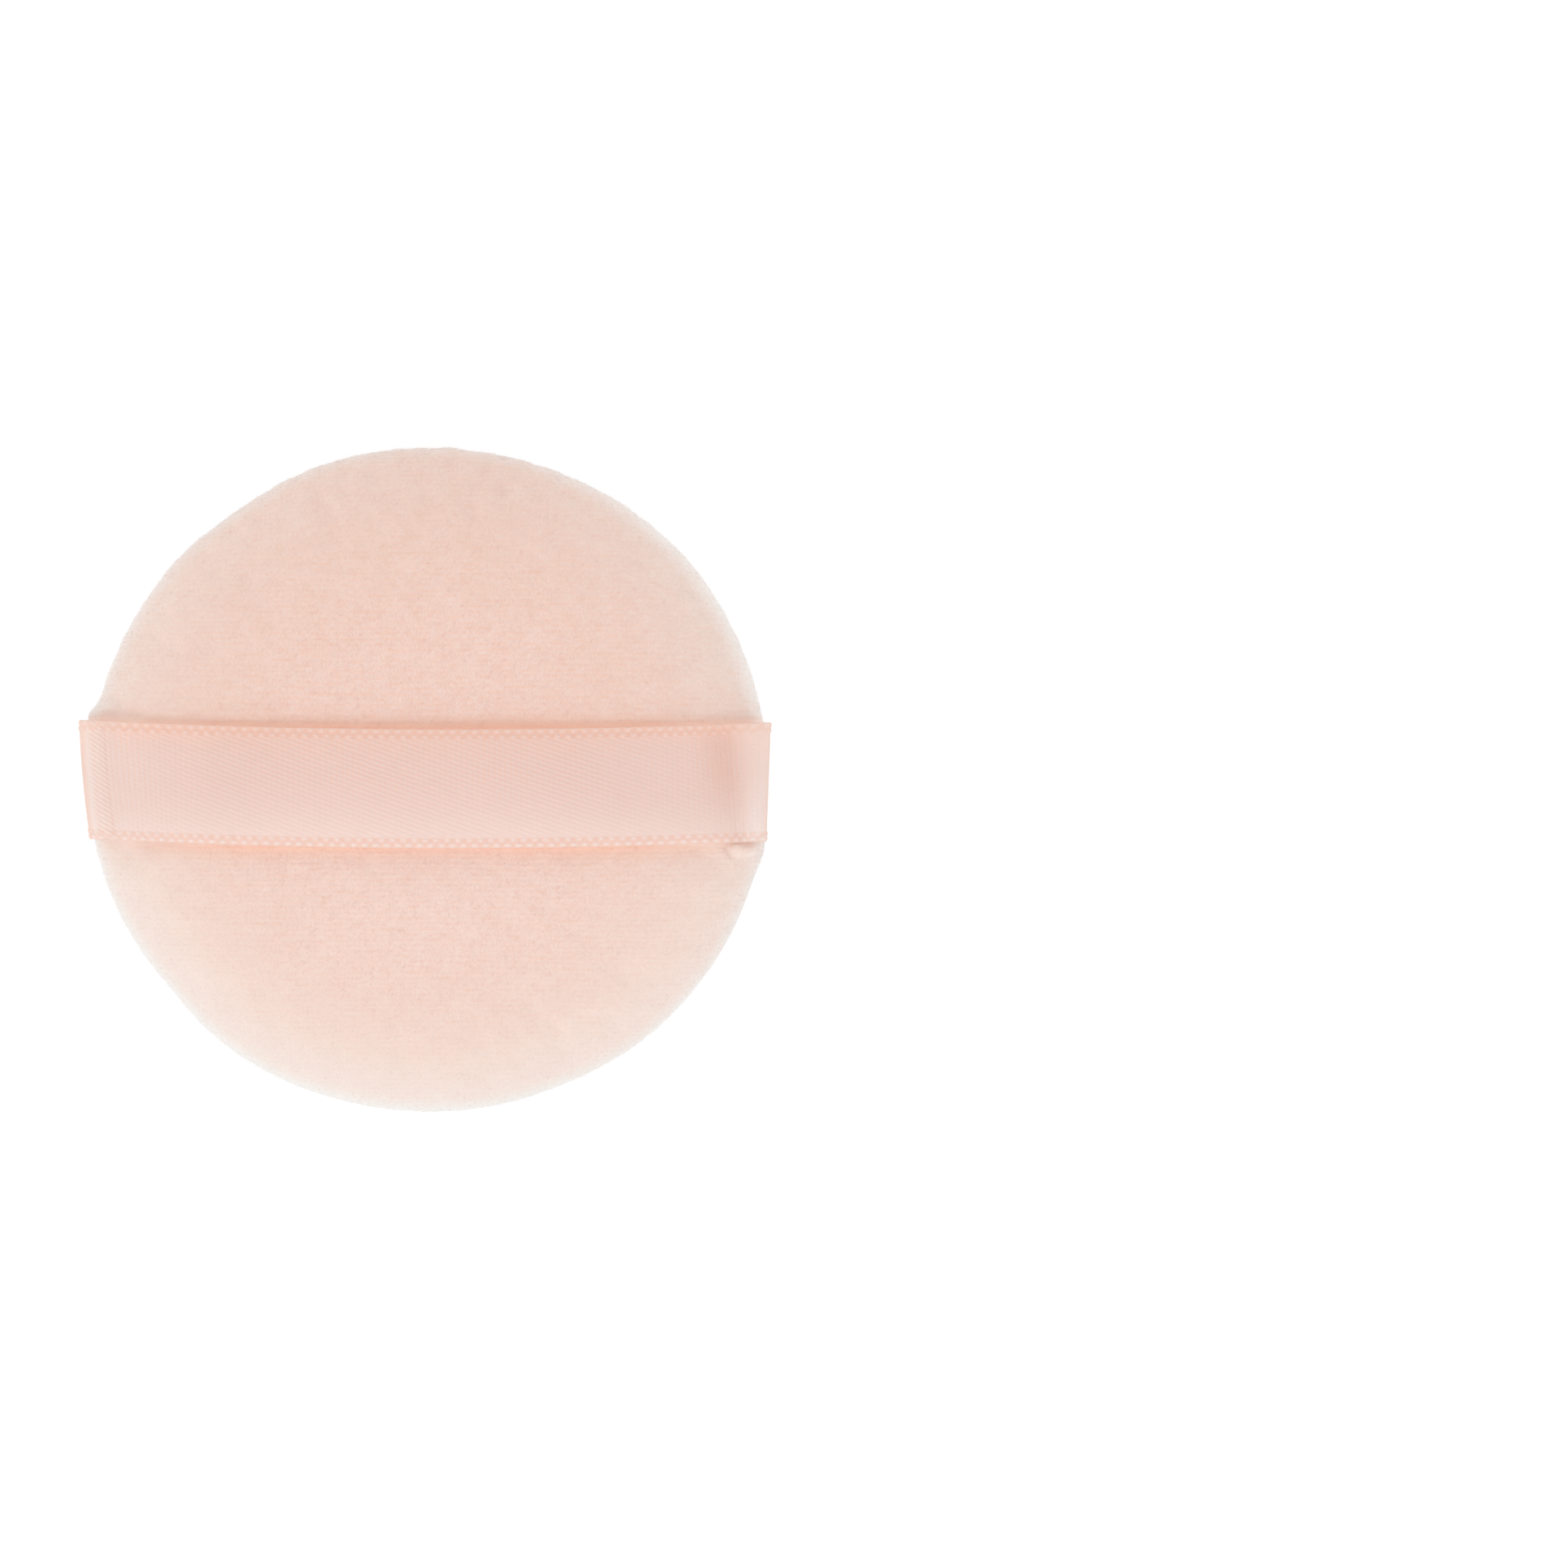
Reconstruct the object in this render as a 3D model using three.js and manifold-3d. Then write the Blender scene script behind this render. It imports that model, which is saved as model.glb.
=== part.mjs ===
// A round makeup puff, in millimetres, +Z up.
// A sponge disc sits in a cover sewn from two circles of velour. A satin ribbon strap
// crosses the back, and its tails are caught in the seam between the two covers.
// The puff lies on its powder face. The origin is the middle of that face, and X runs
// along the ribbon.
import * as THREE from "three";
import { mergeVertices } from "three/addons/utils/BufferGeometryUtils.js";
import Module from "manifold-3d";

const wasm = await Module();
wasm.setup();

// Pad, measured over the velour
const PAD_LENGTH = 68.8;
const PAD_WIDTH = 67.2;
const SEAM_HEIGHT = 7; // from the powder face up to the seam
const BACK_HEIGHT = 7; // from the seam up to the crown of the back
const FACE_PRESS = 0.5; // how deep the powder face is pressed flat where it rests
const EAR_RUNOUT = 4; // how far past the ribbon's edges its ends draw the outline out
const SHOULDER_POWER = 4; // a higher power makes a flatter crown and a tighter shoulder

// Velour covers
const VELOUR_THICKNESS = 1.4; // knitted backing and pile
const FOLD_RADIUS = 0.7; // where the cloth turns in at the seam
const HEM_WIDTH = 5; // seam allowance, from the outline inwards
const HEM_THICKNESS = 1; // pressed flatter than the open cloth
const HEM_GAP = 0.3; // between the two hems

// Satin ribbon
const RIBBON_WIDTH = 12;
const RIBBON_THICKNESS = 0.35;
const RIBBON_BOW = 1.8; // how much the slack lifts the middle of the span
const RIBBON_LIFT = 0.45; // gap to the velour where the span starts to rise
const RIBBON_STAND_OUT = 0.5; // how far the ends stand out past the pad
const RIBBON_CREST_INSET = 2.1; // from the pad's end in to the folded crest
const RIBBON_DIP_INSET = 4.3; // from the pad's end in to the start of the span
const TAIL_SETBACK = 0.3; // from the hems' raw edge out to the ribbon's cut end
const TAIL_CLEARANCE = 0.15;

// Threads
const THREAD_DIAMETER = 0.25;
const THREAD_CLEARANCE = 0.1; // to the cloth, and from thread to thread in a stitch
const STITCH_LENGTH = 5;
const STITCH_INSET = 2.9; // from the outline in to the seam line
const TACK_LENGTH = 2;
const THREAD_END = 0.9; // loose end past the last hole
const CLOSING_LENGTH = 22; // the turning gap, closed after the sponge goes in
const CLOSING_OFFSET = 1.5; // from the ribbon's edge along to that gap

// Sponge
const SPONGE_CLEARANCE = 0.3;

// Mesh fineness
const DOME_STEPS = 5;
const RIBBON_STEPS = 96;
const THREAD_SIDES = 5;
const HOLE_SIDES = 4;
const CUT_OVERRUN = 1;

const halfLength = PAD_LENGTH / 2;
const halfWidth = PAD_WIDTH / 2;
const threadRadius = THREAD_DIAMETER / 2;
const hemUnder = HEM_GAP / 2;
const hemTop = hemUnder + HEM_THICKNESS;
const runHeight = hemTop + THREAD_CLEARANCE + threadRadius; // a thread lying on a hem
const tailInset = HEM_WIDTH - TAIL_SETBACK;

// An even number of equal stitches round the outline, with one facet of the rim each
const perimeter = Math.PI * (halfLength + halfWidth);
const stitchCount = 2 * Math.round(perimeter / STITCH_LENGTH / 2);
const stitchTurn = (2 * Math.PI) / stitchCount;

// Solids: closed three.js geometry to manifold and back

function toSolid(geometry) {
  const plain = geometry.clone();
  plain.deleteAttribute("normal");
  plain.deleteAttribute("uv");
  const merged = mergeVertices(plain);
  return new wasm.Manifold(
    new wasm.Mesh({
      numProp: 3,
      vertProperties: merged.attributes.position.array,
      triVerts: merged.index.array,
    }),
  );
}

function toGeometry(solid) {
  const { vertProperties, triVerts } = solid.getMesh();
  const geometry = new THREE.BufferGeometry();
  geometry.setAttribute("position", new THREE.BufferAttribute(vertProperties, 3));
  geometry.setIndex(new THREE.BufferAttribute(triVerts, 1));
  geometry.computeVertexNormals();
  return geometry;
}

// Outline: an oval, drawn out straight where the ribbon's ends are sewn in

function outlineRadius(angle) {
  const across = Math.abs(Math.cos(angle));
  const oval = 1 / Math.hypot(across / halfLength, Math.sin(angle) / halfWidth);
  const pastRibbon = Math.abs(oval * Math.sin(angle)) - RIBBON_WIDTH / 2;
  const drawn = 1 - THREE.MathUtils.smoothstep(pastRibbon, 0, EAR_RUNOUT);
  if (drawn === 0) return oval;
  return THREE.MathUtils.lerp(oval, halfLength / across, drawn);
}

// The point of the seam plane that lies inset from the outline in the given direction
function onPlan(angle, inset) {
  const radius = ((halfLength - inset) * outlineRadius(angle)) / halfLength;
  return new THREE.Vector2(radius * Math.cos(angle), radius * Math.sin(angle));
}

// Revolves a profile of (radius, height) points about Z, then draws it to the outline.
function revolveToOutline(profile) {
  const geometry = new THREE.LatheGeometry(profile, stitchCount);
  geometry.rotateX(Math.PI / 2);
  const position = geometry.attributes.position;
  for (let i = 0; i < position.count; i++) {
    const angle = Math.atan2(position.getY(i), position.getX(i));
    const draw = outlineRadius(angle) / halfLength;
    position.setXY(i, position.getX(i) * draw, position.getY(i) * draw);
  }
  return toSolid(geometry);
}

// Pad profile: a rounded dome, flat in the middle and tight at the shoulder

function domeHeight(radius, domeRadius, height) {
  const share = Math.min(Math.abs(radius) / domeRadius, 1);
  return height * Math.sqrt(1 - share ** SHOULDER_POWER);
}

// Points of a dome between two heights, from the higher one down to the lower one
function domeArc(domeRadius, height, from, to) {
  const start = Math.acos(from / height);
  const end = Math.acos(to / height);
  const points = [];
  for (let step = 0; step <= DOME_STEPS; step++) {
    const turn = THREE.MathUtils.lerp(start, end, step / DOME_STEPS);
    const radius = domeRadius * Math.sin(turn) ** (2 / SHOULDER_POWER);
    points.push(new THREE.Vector2(radius, height * Math.cos(turn)));
  }
  return points;
}

// Both sides of the pad use one profile. The back keeps its whole crown, and the
// powder face is cut flat at the depth that it is pressed in.
const backSide = { height: BACK_HEIGHT, reach: BACK_HEIGHT };
const faceSide = { height: SEAM_HEIGHT + FACE_PRESS, reach: SEAM_HEIGHT };

// A cover in section: dome, fold at the seam, hem turned inwards, and the inner wall
function coverProfile(side) {
  const foldTop = hemUnder + FOLD_RADIUS;
  const outer = domeArc(halfLength, side.height, side.reach, foldTop);
  const foldCentre = outer.at(-1).x - FOLD_RADIUS;
  const fold = [Math.PI / 4, Math.PI / 2].map(
    (turn) =>
      new THREE.Vector2(
        foldCentre + FOLD_RADIUS * Math.cos(turn),
        foldTop - FOLD_RADIUS * Math.sin(turn),
      ),
  );
  const hemEdge = halfLength - HEM_WIDTH;
  const hem = [new THREE.Vector2(hemEdge, hemUnder), new THREE.Vector2(hemEdge, hemTop)];
  const inner = domeArc(
    halfLength - VELOUR_THICKNESS,
    side.height - VELOUR_THICKNESS,
    side.reach - VELOUR_THICKNESS,
    hemTop,
  ).reverse();
  return [onAxis(side.reach), ...outer, ...fold, ...hem, ...inner, onAxis(inner.at(-1).y)];
}

function onAxis(height) {
  return new THREE.Vector2(0, height);
}

// Drops a point that repeats the one before it, as where a dome starts on the axis.
function withoutRepeats(points) {
  return points.filter((point, i) => i === 0 || !point.equals(points[i - 1]));
}

function upright(profile) {
  return revolveToOutline(withoutRepeats(profile).reverse());
}

function upsideDown(profile) {
  return upright(profile).mirror([0, 0, 1]);
}

// Sponge: the covers' inside, less a clearance, with a groove pressed in by the hems

function spongeSideProfile(side) {
  const inset = VELOUR_THICKNESS + SPONGE_CLEARANCE;
  const grooveTop = runHeight + threadRadius + SPONGE_CLEARANCE;
  const dome = domeArc(
    halfLength - inset,
    side.height - inset,
    side.reach - inset,
    grooveTop,
  );
  const grooveFloor = halfLength - HEM_WIDTH - SPONGE_CLEARANCE;
  return [onAxis(side.reach - inset), ...dome, new THREE.Vector2(grooveFloor, grooveTop)];
}

function spongeCore() {
  const back = spongeSideProfile(backSide);
  const face = spongeSideProfile(faceSide).map((p) => new THREE.Vector2(p.x, -p.y));
  return upright([...back, ...face.reverse()]);
}

// Ribbon: a strip that follows one path, from tail to tail, over the back

const spanShares = [0, 0.2, 0.4, 0.6, 0.8, 1];

// The stiff end stands off the velour: places as shares of the crest's inset, of the
// stand-out and of the back's height
const sideShares = [
  { inset: 1, standOut: 0, height: 0.76 },
  { inset: 0.42, standOut: 0, height: 0.66 },
  { inset: 0, standOut: 0.7, height: 0.4 },
  { inset: 0, standOut: 1, height: 0.18 },
];

function ribbonHalfPath() {
  const spanEnd = halfLength - RIBBON_DIP_INSET;
  const span = spanShares.map((share) => {
    const x = spanEnd * share;
    const gap = RIBBON_LIFT + RIBBON_BOW * (1 - share ** 2) + RIBBON_THICKNESS / 2;
    return new THREE.Vector2(x, domeHeight(x, halfLength, BACK_HEIGHT) + gap);
  });
  const side = sideShares.map(
    (share) =>
      new THREE.Vector2(
        halfLength - RIBBON_CREST_INSET * share.inset + RIBBON_STAND_OUT * share.standOut,
        BACK_HEIGHT * share.height,
      ),
  );
  const tail = [
    new THREE.Vector2(halfLength - FOLD_RADIUS / 2, 0),
    new THREE.Vector2(halfLength - tailInset, 0),
  ];
  return [...span, ...side, ...tail];
}

function ribbonStrip() {
  const half = ribbonHalfPath();
  const mirrored = half.slice(1).map((p) => new THREE.Vector2(-p.x, p.y));
  const path = new THREE.SplineCurve([...mirrored.reverse(), ...half]);
  const upper = [];
  const lower = [];
  for (let step = 0; step <= RIBBON_STEPS; step++) {
    const centre = path.getPointAt(step / RIBBON_STEPS);
    const along = path.getTangentAt(step / RIBBON_STEPS);
    const out = new THREE.Vector2(-along.y, along.x).multiplyScalar(RIBBON_THICKNESS / 2);
    upper.push(centre.clone().add(out));
    lower.push(centre.clone().sub(out));
  }
  const section = new THREE.Shape([...upper, ...lower.reverse()]);
  const strip = new THREE.ExtrudeGeometry(section, {
    depth: RIBBON_WIDTH,
    bevelEnabled: false,
  });
  strip.rotateX(Math.PI / 2);
  strip.translate(0, RIBBON_WIDTH / 2, 0);
  return toSolid(strip);
}

// The room that the ribbon's tail takes between the hems, on one side of the puff
function tailPocket(sign) {
  const length = tailInset + TAIL_CLEARANCE + CUT_OVERRUN;
  const pocket = new THREE.BoxGeometry(
    length,
    RIBBON_WIDTH + 2 * TAIL_CLEARANCE,
    RIBBON_THICKNESS + 2 * TAIL_CLEARANCE,
  );
  pocket.translate(sign * (halfLength + CUT_OVERRUN - length / 2), 0, 0);
  return toSolid(pocket);
}

// Threads: a tube with mitred bends through a list of points

function threadTube(points) {
  const directions = points
    .slice(1)
    .map((point, i) => point.clone().sub(points[i]).normalize());
  const first = directions[0];
  const side = new THREE.Vector3(-first.y, first.x, 0).normalize();
  const up = first.clone().cross(side);
  let spokes = [];
  for (let i = 0; i < THREAD_SIDES; i++) {
    const turn = (2 * Math.PI * i) / THREAD_SIDES;
    const spoke = side.clone().multiplyScalar(threadRadius * Math.cos(turn));
    spokes.push(spoke.addScaledVector(up, threadRadius * Math.sin(turn)));
  }
  const rings = points.map((point, i) => {
    const into = directions[Math.max(i - 1, 0)];
    const onward = directions[Math.min(i, directions.length - 1)];
    const mitre = into.clone().add(onward).normalize();
    const ring = spokes.map((spoke) =>
      spoke.clone().addScaledVector(into, -spoke.dot(mitre) / into.dot(mitre)),
    );
    spokes = ring.map((spoke) => spoke.clone().addScaledVector(onward, -spoke.dot(onward)));
    return ring.map((spoke) => spoke.add(point));
  });
  return toSolid(tubeFromRings(rings));
}

function tubeFromRings(rings) {
  const positions = rings.flat().flatMap((p) => [p.x, p.y, p.z]);
  const sides = rings[0].length;
  const triangles = [];
  for (let ring = 0; ring < rings.length - 1; ring++) {
    for (let i = 0; i < sides; i++) {
      const a = ring * sides + i;
      const b = ring * sides + ((i + 1) % sides);
      triangles.push(a, b, a + sides, b, b + sides, a + sides);
    }
  }
  const last = (rings.length - 1) * sides;
  for (let i = 1; i < sides - 1; i++) {
    triangles.push(0, i + 1, i);
    triangles.push(last, last + i, last + i + 1);
  }
  const tube = new THREE.BufferGeometry();
  tube.setAttribute("position", new THREE.Float32BufferAttribute(positions, 3));
  tube.setIndex(triangles);
  return tube;
}

// Seam layout: the turning gap is beside the ribbon's right-hand end, on the side of
// the puff towards -Y

const gapStart = -(RIBBON_WIDTH / 2 + CLOSING_OFFSET) / halfLength;
const gapEnd = gapStart - CLOSING_LENGTH / halfLength;
const closingSlots = [];
const seamSlots = [];
for (let slot = 0; slot < stitchCount; slot++) {
  const angle = -(slot + 1 / 2) * stitchTurn;
  if (angle < gapStart && angle > gapEnd) closingSlots.push(angle);
  else seamSlots.push(angle);
}
// The machine seam runs on from the far end of the gap, round to its near end.
const gapFirst = seamSlots.findIndex((angle) => angle < gapEnd);
const seamAngles = [
  ...seamSlots.slice(gapFirst),
  ...seamSlots.slice(0, gapFirst).map((angle) => angle - 2 * Math.PI),
];

// A point of a stitch: shifted along the seam and outwards across it, at a height
function stitchPoint(angle, along, across, height) {
  return at(onPlan(angle + along / halfLength, STITCH_INSET - across), height);
}

function at(place, height) {
  return new THREE.Vector3(place.x, place.y, height);
}

// Lockstitch. In each hole the needle thread dips in a loop that runs along the seam,
// and the bobbin thread rises in a loop across it, hooked through the first.
const hook = THREAD_DIAMETER + THREAD_CLEARANCE;

function needleThread() {
  const points = seamAngles.flatMap((angle) => [
    stitchPoint(angle, hook, 0, runHeight),
    stitchPoint(angle, hook, 0, -hook / 2),
    stitchPoint(angle, -hook, 0, -hook / 2),
    stitchPoint(angle, -hook, 0, runHeight),
  ]);
  points.unshift(stitchPoint(seamAngles[0], hook + THREAD_END, 0, runHeight));
  points.push(stitchPoint(seamAngles.at(-1), -hook - THREAD_END, 0, runHeight));
  return threadTube(points);
}

function bobbinThread() {
  const points = seamAngles.flatMap((angle) => [
    stitchPoint(angle, 0, -hook, -runHeight),
    stitchPoint(angle, 0, -hook, hook / 2),
    stitchPoint(angle, 0, hook, hook / 2),
    stitchPoint(angle, 0, hook, -runHeight),
  ]);
  points.unshift(stitchPoint(seamAngles[0], THREAD_END, -hook, -runHeight));
  points.push(stitchPoint(seamAngles.at(-1), -THREAD_END, hook, -runHeight));
  return threadTube(points);
}

// Running stitch: one thread that goes down through a hole and up through the next
function runningStitch(places, endPlaces) {
  const points = places.flatMap((place, i) => {
    const down = i % 2 === 0 ? runHeight : -runHeight;
    return [at(place, down), at(place, -down)];
  });
  const lastRun = places.length % 2 === 0 ? runHeight : -runHeight;
  points.unshift(at(endPlaces[0], runHeight));
  points.push(at(endPlaces[1], lastRun));
  return threadTube(points);
}

const closingPlaces = closingSlots.map((angle) => onPlan(angle, STITCH_INSET));
const closingEnds = [
  onPlan(closingSlots[0] + THREAD_END / halfLength, STITCH_INSET),
  onPlan(closingSlots.at(-1) - THREAD_END / halfLength, STITCH_INSET),
];

// The row that tacks one end of the ribbon runs straight across its tail, halfway
// between the seam's holes and the cut end.
const lockHoleRadius = hook + threadRadius + THREAD_CLEARANCE;
const plainHoleRadius = threadRadius + THREAD_CLEARANCE;
const tackInset = (STITCH_INSET + lockHoleRadius + tailInset) / 2;
const tackRowLength = RIBBON_WIDTH - 2 * THREAD_END - 2 * plainHoleRadius;
const tackStitches = Math.floor(tackRowLength / TACK_LENGTH);

function tackPlaces(sign) {
  const x = sign * (halfLength - tackInset);
  const start = (-tackStitches * TACK_LENGTH) / 2;
  const places = [];
  for (let i = 0; i <= tackStitches; i++) {
    places.push(new THREE.Vector2(x, start + i * TACK_LENGTH));
  }
  return places;
}

function tackEnds(sign) {
  const places = tackPlaces(sign);
  const end = new THREE.Vector2(0, THREAD_END);
  return [places[0].sub(end), places.at(-1).add(end)];
}

// Needle holes, right through both hems and the ribbon's tails: their sides stand
// along the seam and across it

function needleHole(place, radius) {
  const corner = radius / Math.cos(Math.PI / HOLE_SIDES);
  const hole = new THREE.CylinderGeometry(corner, corner, 2 * runHeight, HOLE_SIDES);
  hole.rotateX(Math.PI / 2);
  hole.rotateZ(Math.PI / HOLE_SIDES + Math.atan2(place.y, place.x));
  hole.translate(place.x, place.y, 0);
  return toSolid(hole);
}

const holes = wasm.Manifold.union([
  ...seamAngles.map((angle) => needleHole(onPlan(angle, STITCH_INSET), lockHoleRadius)),
  ...closingPlaces.map((place) => needleHole(place, plainHoleRadius)),
  ...tackPlaces(1).map((place) => needleHole(place, plainHoleRadius)),
  ...tackPlaces(-1).map((place) => needleHole(place, plainHoleRadius)),
]);

// Materials

function cloth(colour, roughness) {
  return new THREE.MeshStandardMaterial({ color: colour, roughness, metalness: 0 });
}

const velour = cloth(0xf3d4c8, 0.95);
const satin = cloth(0xf3cfc1, 0.45);
const foam = cloth(0xf7ecdc, 1);
const thread = cloth(0xf5dcd0, 0.7);

// Assembly. The pieces are modelled from the seam plane, which stands SEAM_HEIGHT
// above the powder face.

const sewn = new THREE.Group();
sewn.position.z = SEAM_HEIGHT;

function addPiece(name, solid, material) {
  const mesh = new THREE.Mesh(toGeometry(solid), material);
  mesh.name = name;
  sewn.add(mesh);
}

function cutForSeam(cover) {
  return cover.subtract(tailPocket(1)).subtract(tailPocket(-1)).subtract(holes);
}

addPiece("back_cover", cutForSeam(upright(coverProfile(backSide))), velour);
addPiece("powder_face_cover", cutForSeam(upsideDown(coverProfile(faceSide))), velour);
addPiece("sponge_core", spongeCore(), foam);
addPiece("ribbon_strap", ribbonStrip().subtract(holes), satin);
addPiece("seam_needle_thread", needleThread(), thread);
addPiece("seam_bobbin_thread", bobbinThread(), thread);
addPiece("closing_thread", runningStitch(closingPlaces, closingEnds), thread);
addPiece("right_ribbon_tack", runningStitch(tackPlaces(1), tackEnds(1)), thread);
addPiece("left_ribbon_tack", runningStitch(tackPlaces(-1), tackEnds(-1)), thread);

const puff = new THREE.Group();
puff.add(sewn);

export default puff;
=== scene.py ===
# A round velour makeup puff with a satin ribbon strap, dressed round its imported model.
# It lies on its powder face, and the camera looks straight down on it.
import math

import bpy
import numpy as np
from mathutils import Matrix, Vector


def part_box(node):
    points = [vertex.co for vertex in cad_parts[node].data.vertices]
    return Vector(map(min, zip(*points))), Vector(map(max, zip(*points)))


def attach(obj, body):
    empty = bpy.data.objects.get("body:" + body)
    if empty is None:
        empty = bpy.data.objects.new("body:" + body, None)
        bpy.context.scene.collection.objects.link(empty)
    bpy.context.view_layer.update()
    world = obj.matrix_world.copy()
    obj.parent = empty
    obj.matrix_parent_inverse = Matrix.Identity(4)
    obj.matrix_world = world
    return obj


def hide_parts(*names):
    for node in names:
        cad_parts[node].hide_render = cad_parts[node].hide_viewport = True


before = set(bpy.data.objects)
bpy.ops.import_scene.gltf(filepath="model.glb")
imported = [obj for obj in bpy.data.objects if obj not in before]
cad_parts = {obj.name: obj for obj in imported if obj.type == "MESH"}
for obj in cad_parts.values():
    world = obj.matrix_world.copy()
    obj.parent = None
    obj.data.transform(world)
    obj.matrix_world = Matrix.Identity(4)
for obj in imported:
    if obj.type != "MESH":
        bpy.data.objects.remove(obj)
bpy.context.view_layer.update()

MM = 0.001

# Places taken from the frame
face_low, face_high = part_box("powder_face_cover")
back_low, back_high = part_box("back_cover")
ribbon_low, ribbon_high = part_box("ribbon_strap")
SEAM_Z = (face_high.z + back_low.z) / 2
HALF_LENGTH = (face_high.x - face_low.x) / 2
HALF_WIDTH = (face_high.y - face_low.y) / 2
BACK_HEIGHT = back_high.z - SEAM_Z
RIBBON_WIDTH = ribbon_high.y - ribbon_low.y

# Pad
FACE_HEIGHT = SEAM_Z + 0.5 * MM  # before the powder face is pressed flat
SHOULDER_POWER = 4
FOLD_RADIUS = 0.7 * MM
HEM_GAP = 0.3 * MM
HEM_THICKNESS = 1 * MM
HEM_WIDTH = 5 * MM
VELOUR_THICKNESS = 1.4 * MM
PILE_BED = 0.03 * MM  # how far the knitted backing lies under the tips of the pile
REST_LEVEL = 0.2 * MM  # of the backing, where the powder face lies on the floor
REST_BLEND = 0.3 * MM  # how softly the face rounds into its flat
SEAM_REACH = 2 * MM  # how far from the seam, and from the ribbon, the two folds close up
SEAM_CLOSING = 0.46  # share of the hems' gap that each fold closes

# Knit and pile
COURSE = 0.56 * MM  # spacing of the knit's rows
WALE = 0.855 * MM  # spacing of its columns
RIM_INNER = 20 * MM  # on the cloth from its middle, where painted sheen begins to pale the nap towards the rim
RIM_OUTER = 37 * MM
PALE_SIDE = (-0.35, -0.94)  # direction of the side where painted sheen makes the nap look palest

# Cloth simulation: the covers swell round the sponge, on every sixth line of the skin's grid
COARSE = 6
SIM_SCALE = 10
SIM_FRAMES = 20
SIM_JITTER = 0.01 * MM
SIM_SETTINGS = dict(
    quality=6, mass=0.3, tension_stiffness=15, compression_stiffness=15, shear_stiffness=5,
    bending_stiffness=0.5, use_pressure=True, uniform_pressure_force=4,
)
FLAT_RISE = 0.1 * MM  # of the two circles of cloth from each other's plane when they lie flat
SWELL_CAP = 0.45 * MM

# Camera: the photograph's frame at the puff's distance, and where the puff's middle is in it
PHOTO_SIZE = 1932
PHOTO_PUFF_X = 528.9
PHOTO_PUFF_Y = 960.4
PIXEL = 0.0822 * MM
CAMERA_HEIGHT = 1.5
SENSOR_WIDTH = 36

random = np.random.default_rng(7)


def new_object(name, data):
    made = bpy.data.objects.new(name, data)
    bpy.context.scene.collection.objects.link(made)
    return made


def make_camera():
    data = bpy.data.cameras.new("camera")
    data.sensor_width = SENSOR_WIDTH
    data.lens = SENSOR_WIDTH * (CAMERA_HEIGHT - SEAM_Z) / (PHOTO_SIZE * PIXEL)
    camera = new_object("camera", data)
    middle = PHOTO_SIZE / 2
    camera.location = ((middle - PHOTO_PUFF_X) * PIXEL, (PHOTO_PUFF_Y - middle) * PIXEL, CAMERA_HEIGHT)
    bpy.context.scene.camera = camera


# Mesh helpers

def new_mesh(name, points, face_groups):
    """A mesh from points and arrays of faces, each array with faces of one size."""
    points = np.asarray(points, np.float32)
    sizes = np.concatenate([np.full(len(group), group.shape[1]) for group in face_groups])
    corners = np.concatenate([np.asarray(group).ravel() for group in face_groups])
    mesh = bpy.data.meshes.new(name)
    mesh.vertices.add(len(points))
    mesh.vertices.foreach_set("co", points.ravel())
    mesh.loops.add(len(corners))
    mesh.loops.foreach_set("vertex_index", corners.astype(np.int32))
    mesh.polygons.add(len(sizes))
    mesh.polygons.foreach_set("loop_start", (np.cumsum(sizes) - sizes).astype(np.int32))
    mesh.update(calc_edges=True)
    mesh.validate()
    return mesh


def add_piece(name, points, face_groups, material, uv=None):
    mesh = new_mesh(name, points, face_groups)
    mesh.materials.append(material)
    if uv is not None:
        layer = mesh.uv_layers.new(name="cloth")
        corners = np.empty(len(mesh.loops), np.int32)
        mesh.loops.foreach_get("vertex_index", corners)
        layer.data.foreach_set("uv", uv[corners].ravel())
    mesh.shade_smooth()
    piece = new_object(name, mesh)
    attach(piece, "root")
    return piece


def ring_faces(rings, segments, first):
    """Quads between rings of points, each ring closed on itself."""
    i = np.arange(rings - 1)[:, None] * segments + first
    j = np.arange(segments)[None, :]
    k = (j + 1) % segments
    quads = np.stack([i + j, i + segments + j, i + segments + k, i + k], axis=-1)
    return quads.reshape(-1, 4)


def cap_faces(pole, ring_start, segments):
    """Triangles from a pole to the ring round it."""
    j = np.arange(segments)
    k = (j + 1) % segments
    return np.stack([np.full(segments, pole), ring_start + j, ring_start + k], axis=-1)


def unit(vectors):
    return vectors / np.maximum(np.linalg.norm(vectors, axis=-1, keepdims=True), 1e-12)


def rising(value, start, width):
    """0 up to the start, and 1 from a width past it."""
    return np.clip((value - start) / width, 0, 1)


def polar(reach, theta):
    return reach * np.cos(theta), reach * np.sin(theta)


def pale_side(theta):
    """1 in the direction of PALE_SIDE, and 0 opposite it."""
    return 0.5 + 0.5 * (PALE_SIDE[0] * np.cos(theta) + PALE_SIDE[1] * np.sin(theta))


def waves(u, v, pitches, count, seed):
    """Smooth random unevenness of about unit size over a sheet of cloth."""
    shortest, longest = pitches
    source = np.random.default_rng(seed)
    total = np.zeros(np.broadcast(u, v).shape)
    for _ in range(count):
        turn = source.uniform(0, 2 * math.pi)
        pitch = source.uniform(shortest, longest)
        phase = source.uniform(0, 2 * math.pi)
        total += np.cos(2 * math.pi * (u * math.cos(turn) + v * math.sin(turn)) / pitch + phase)
    return total / math.sqrt(count / 2)


# Outline of the pad, seen from above

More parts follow.
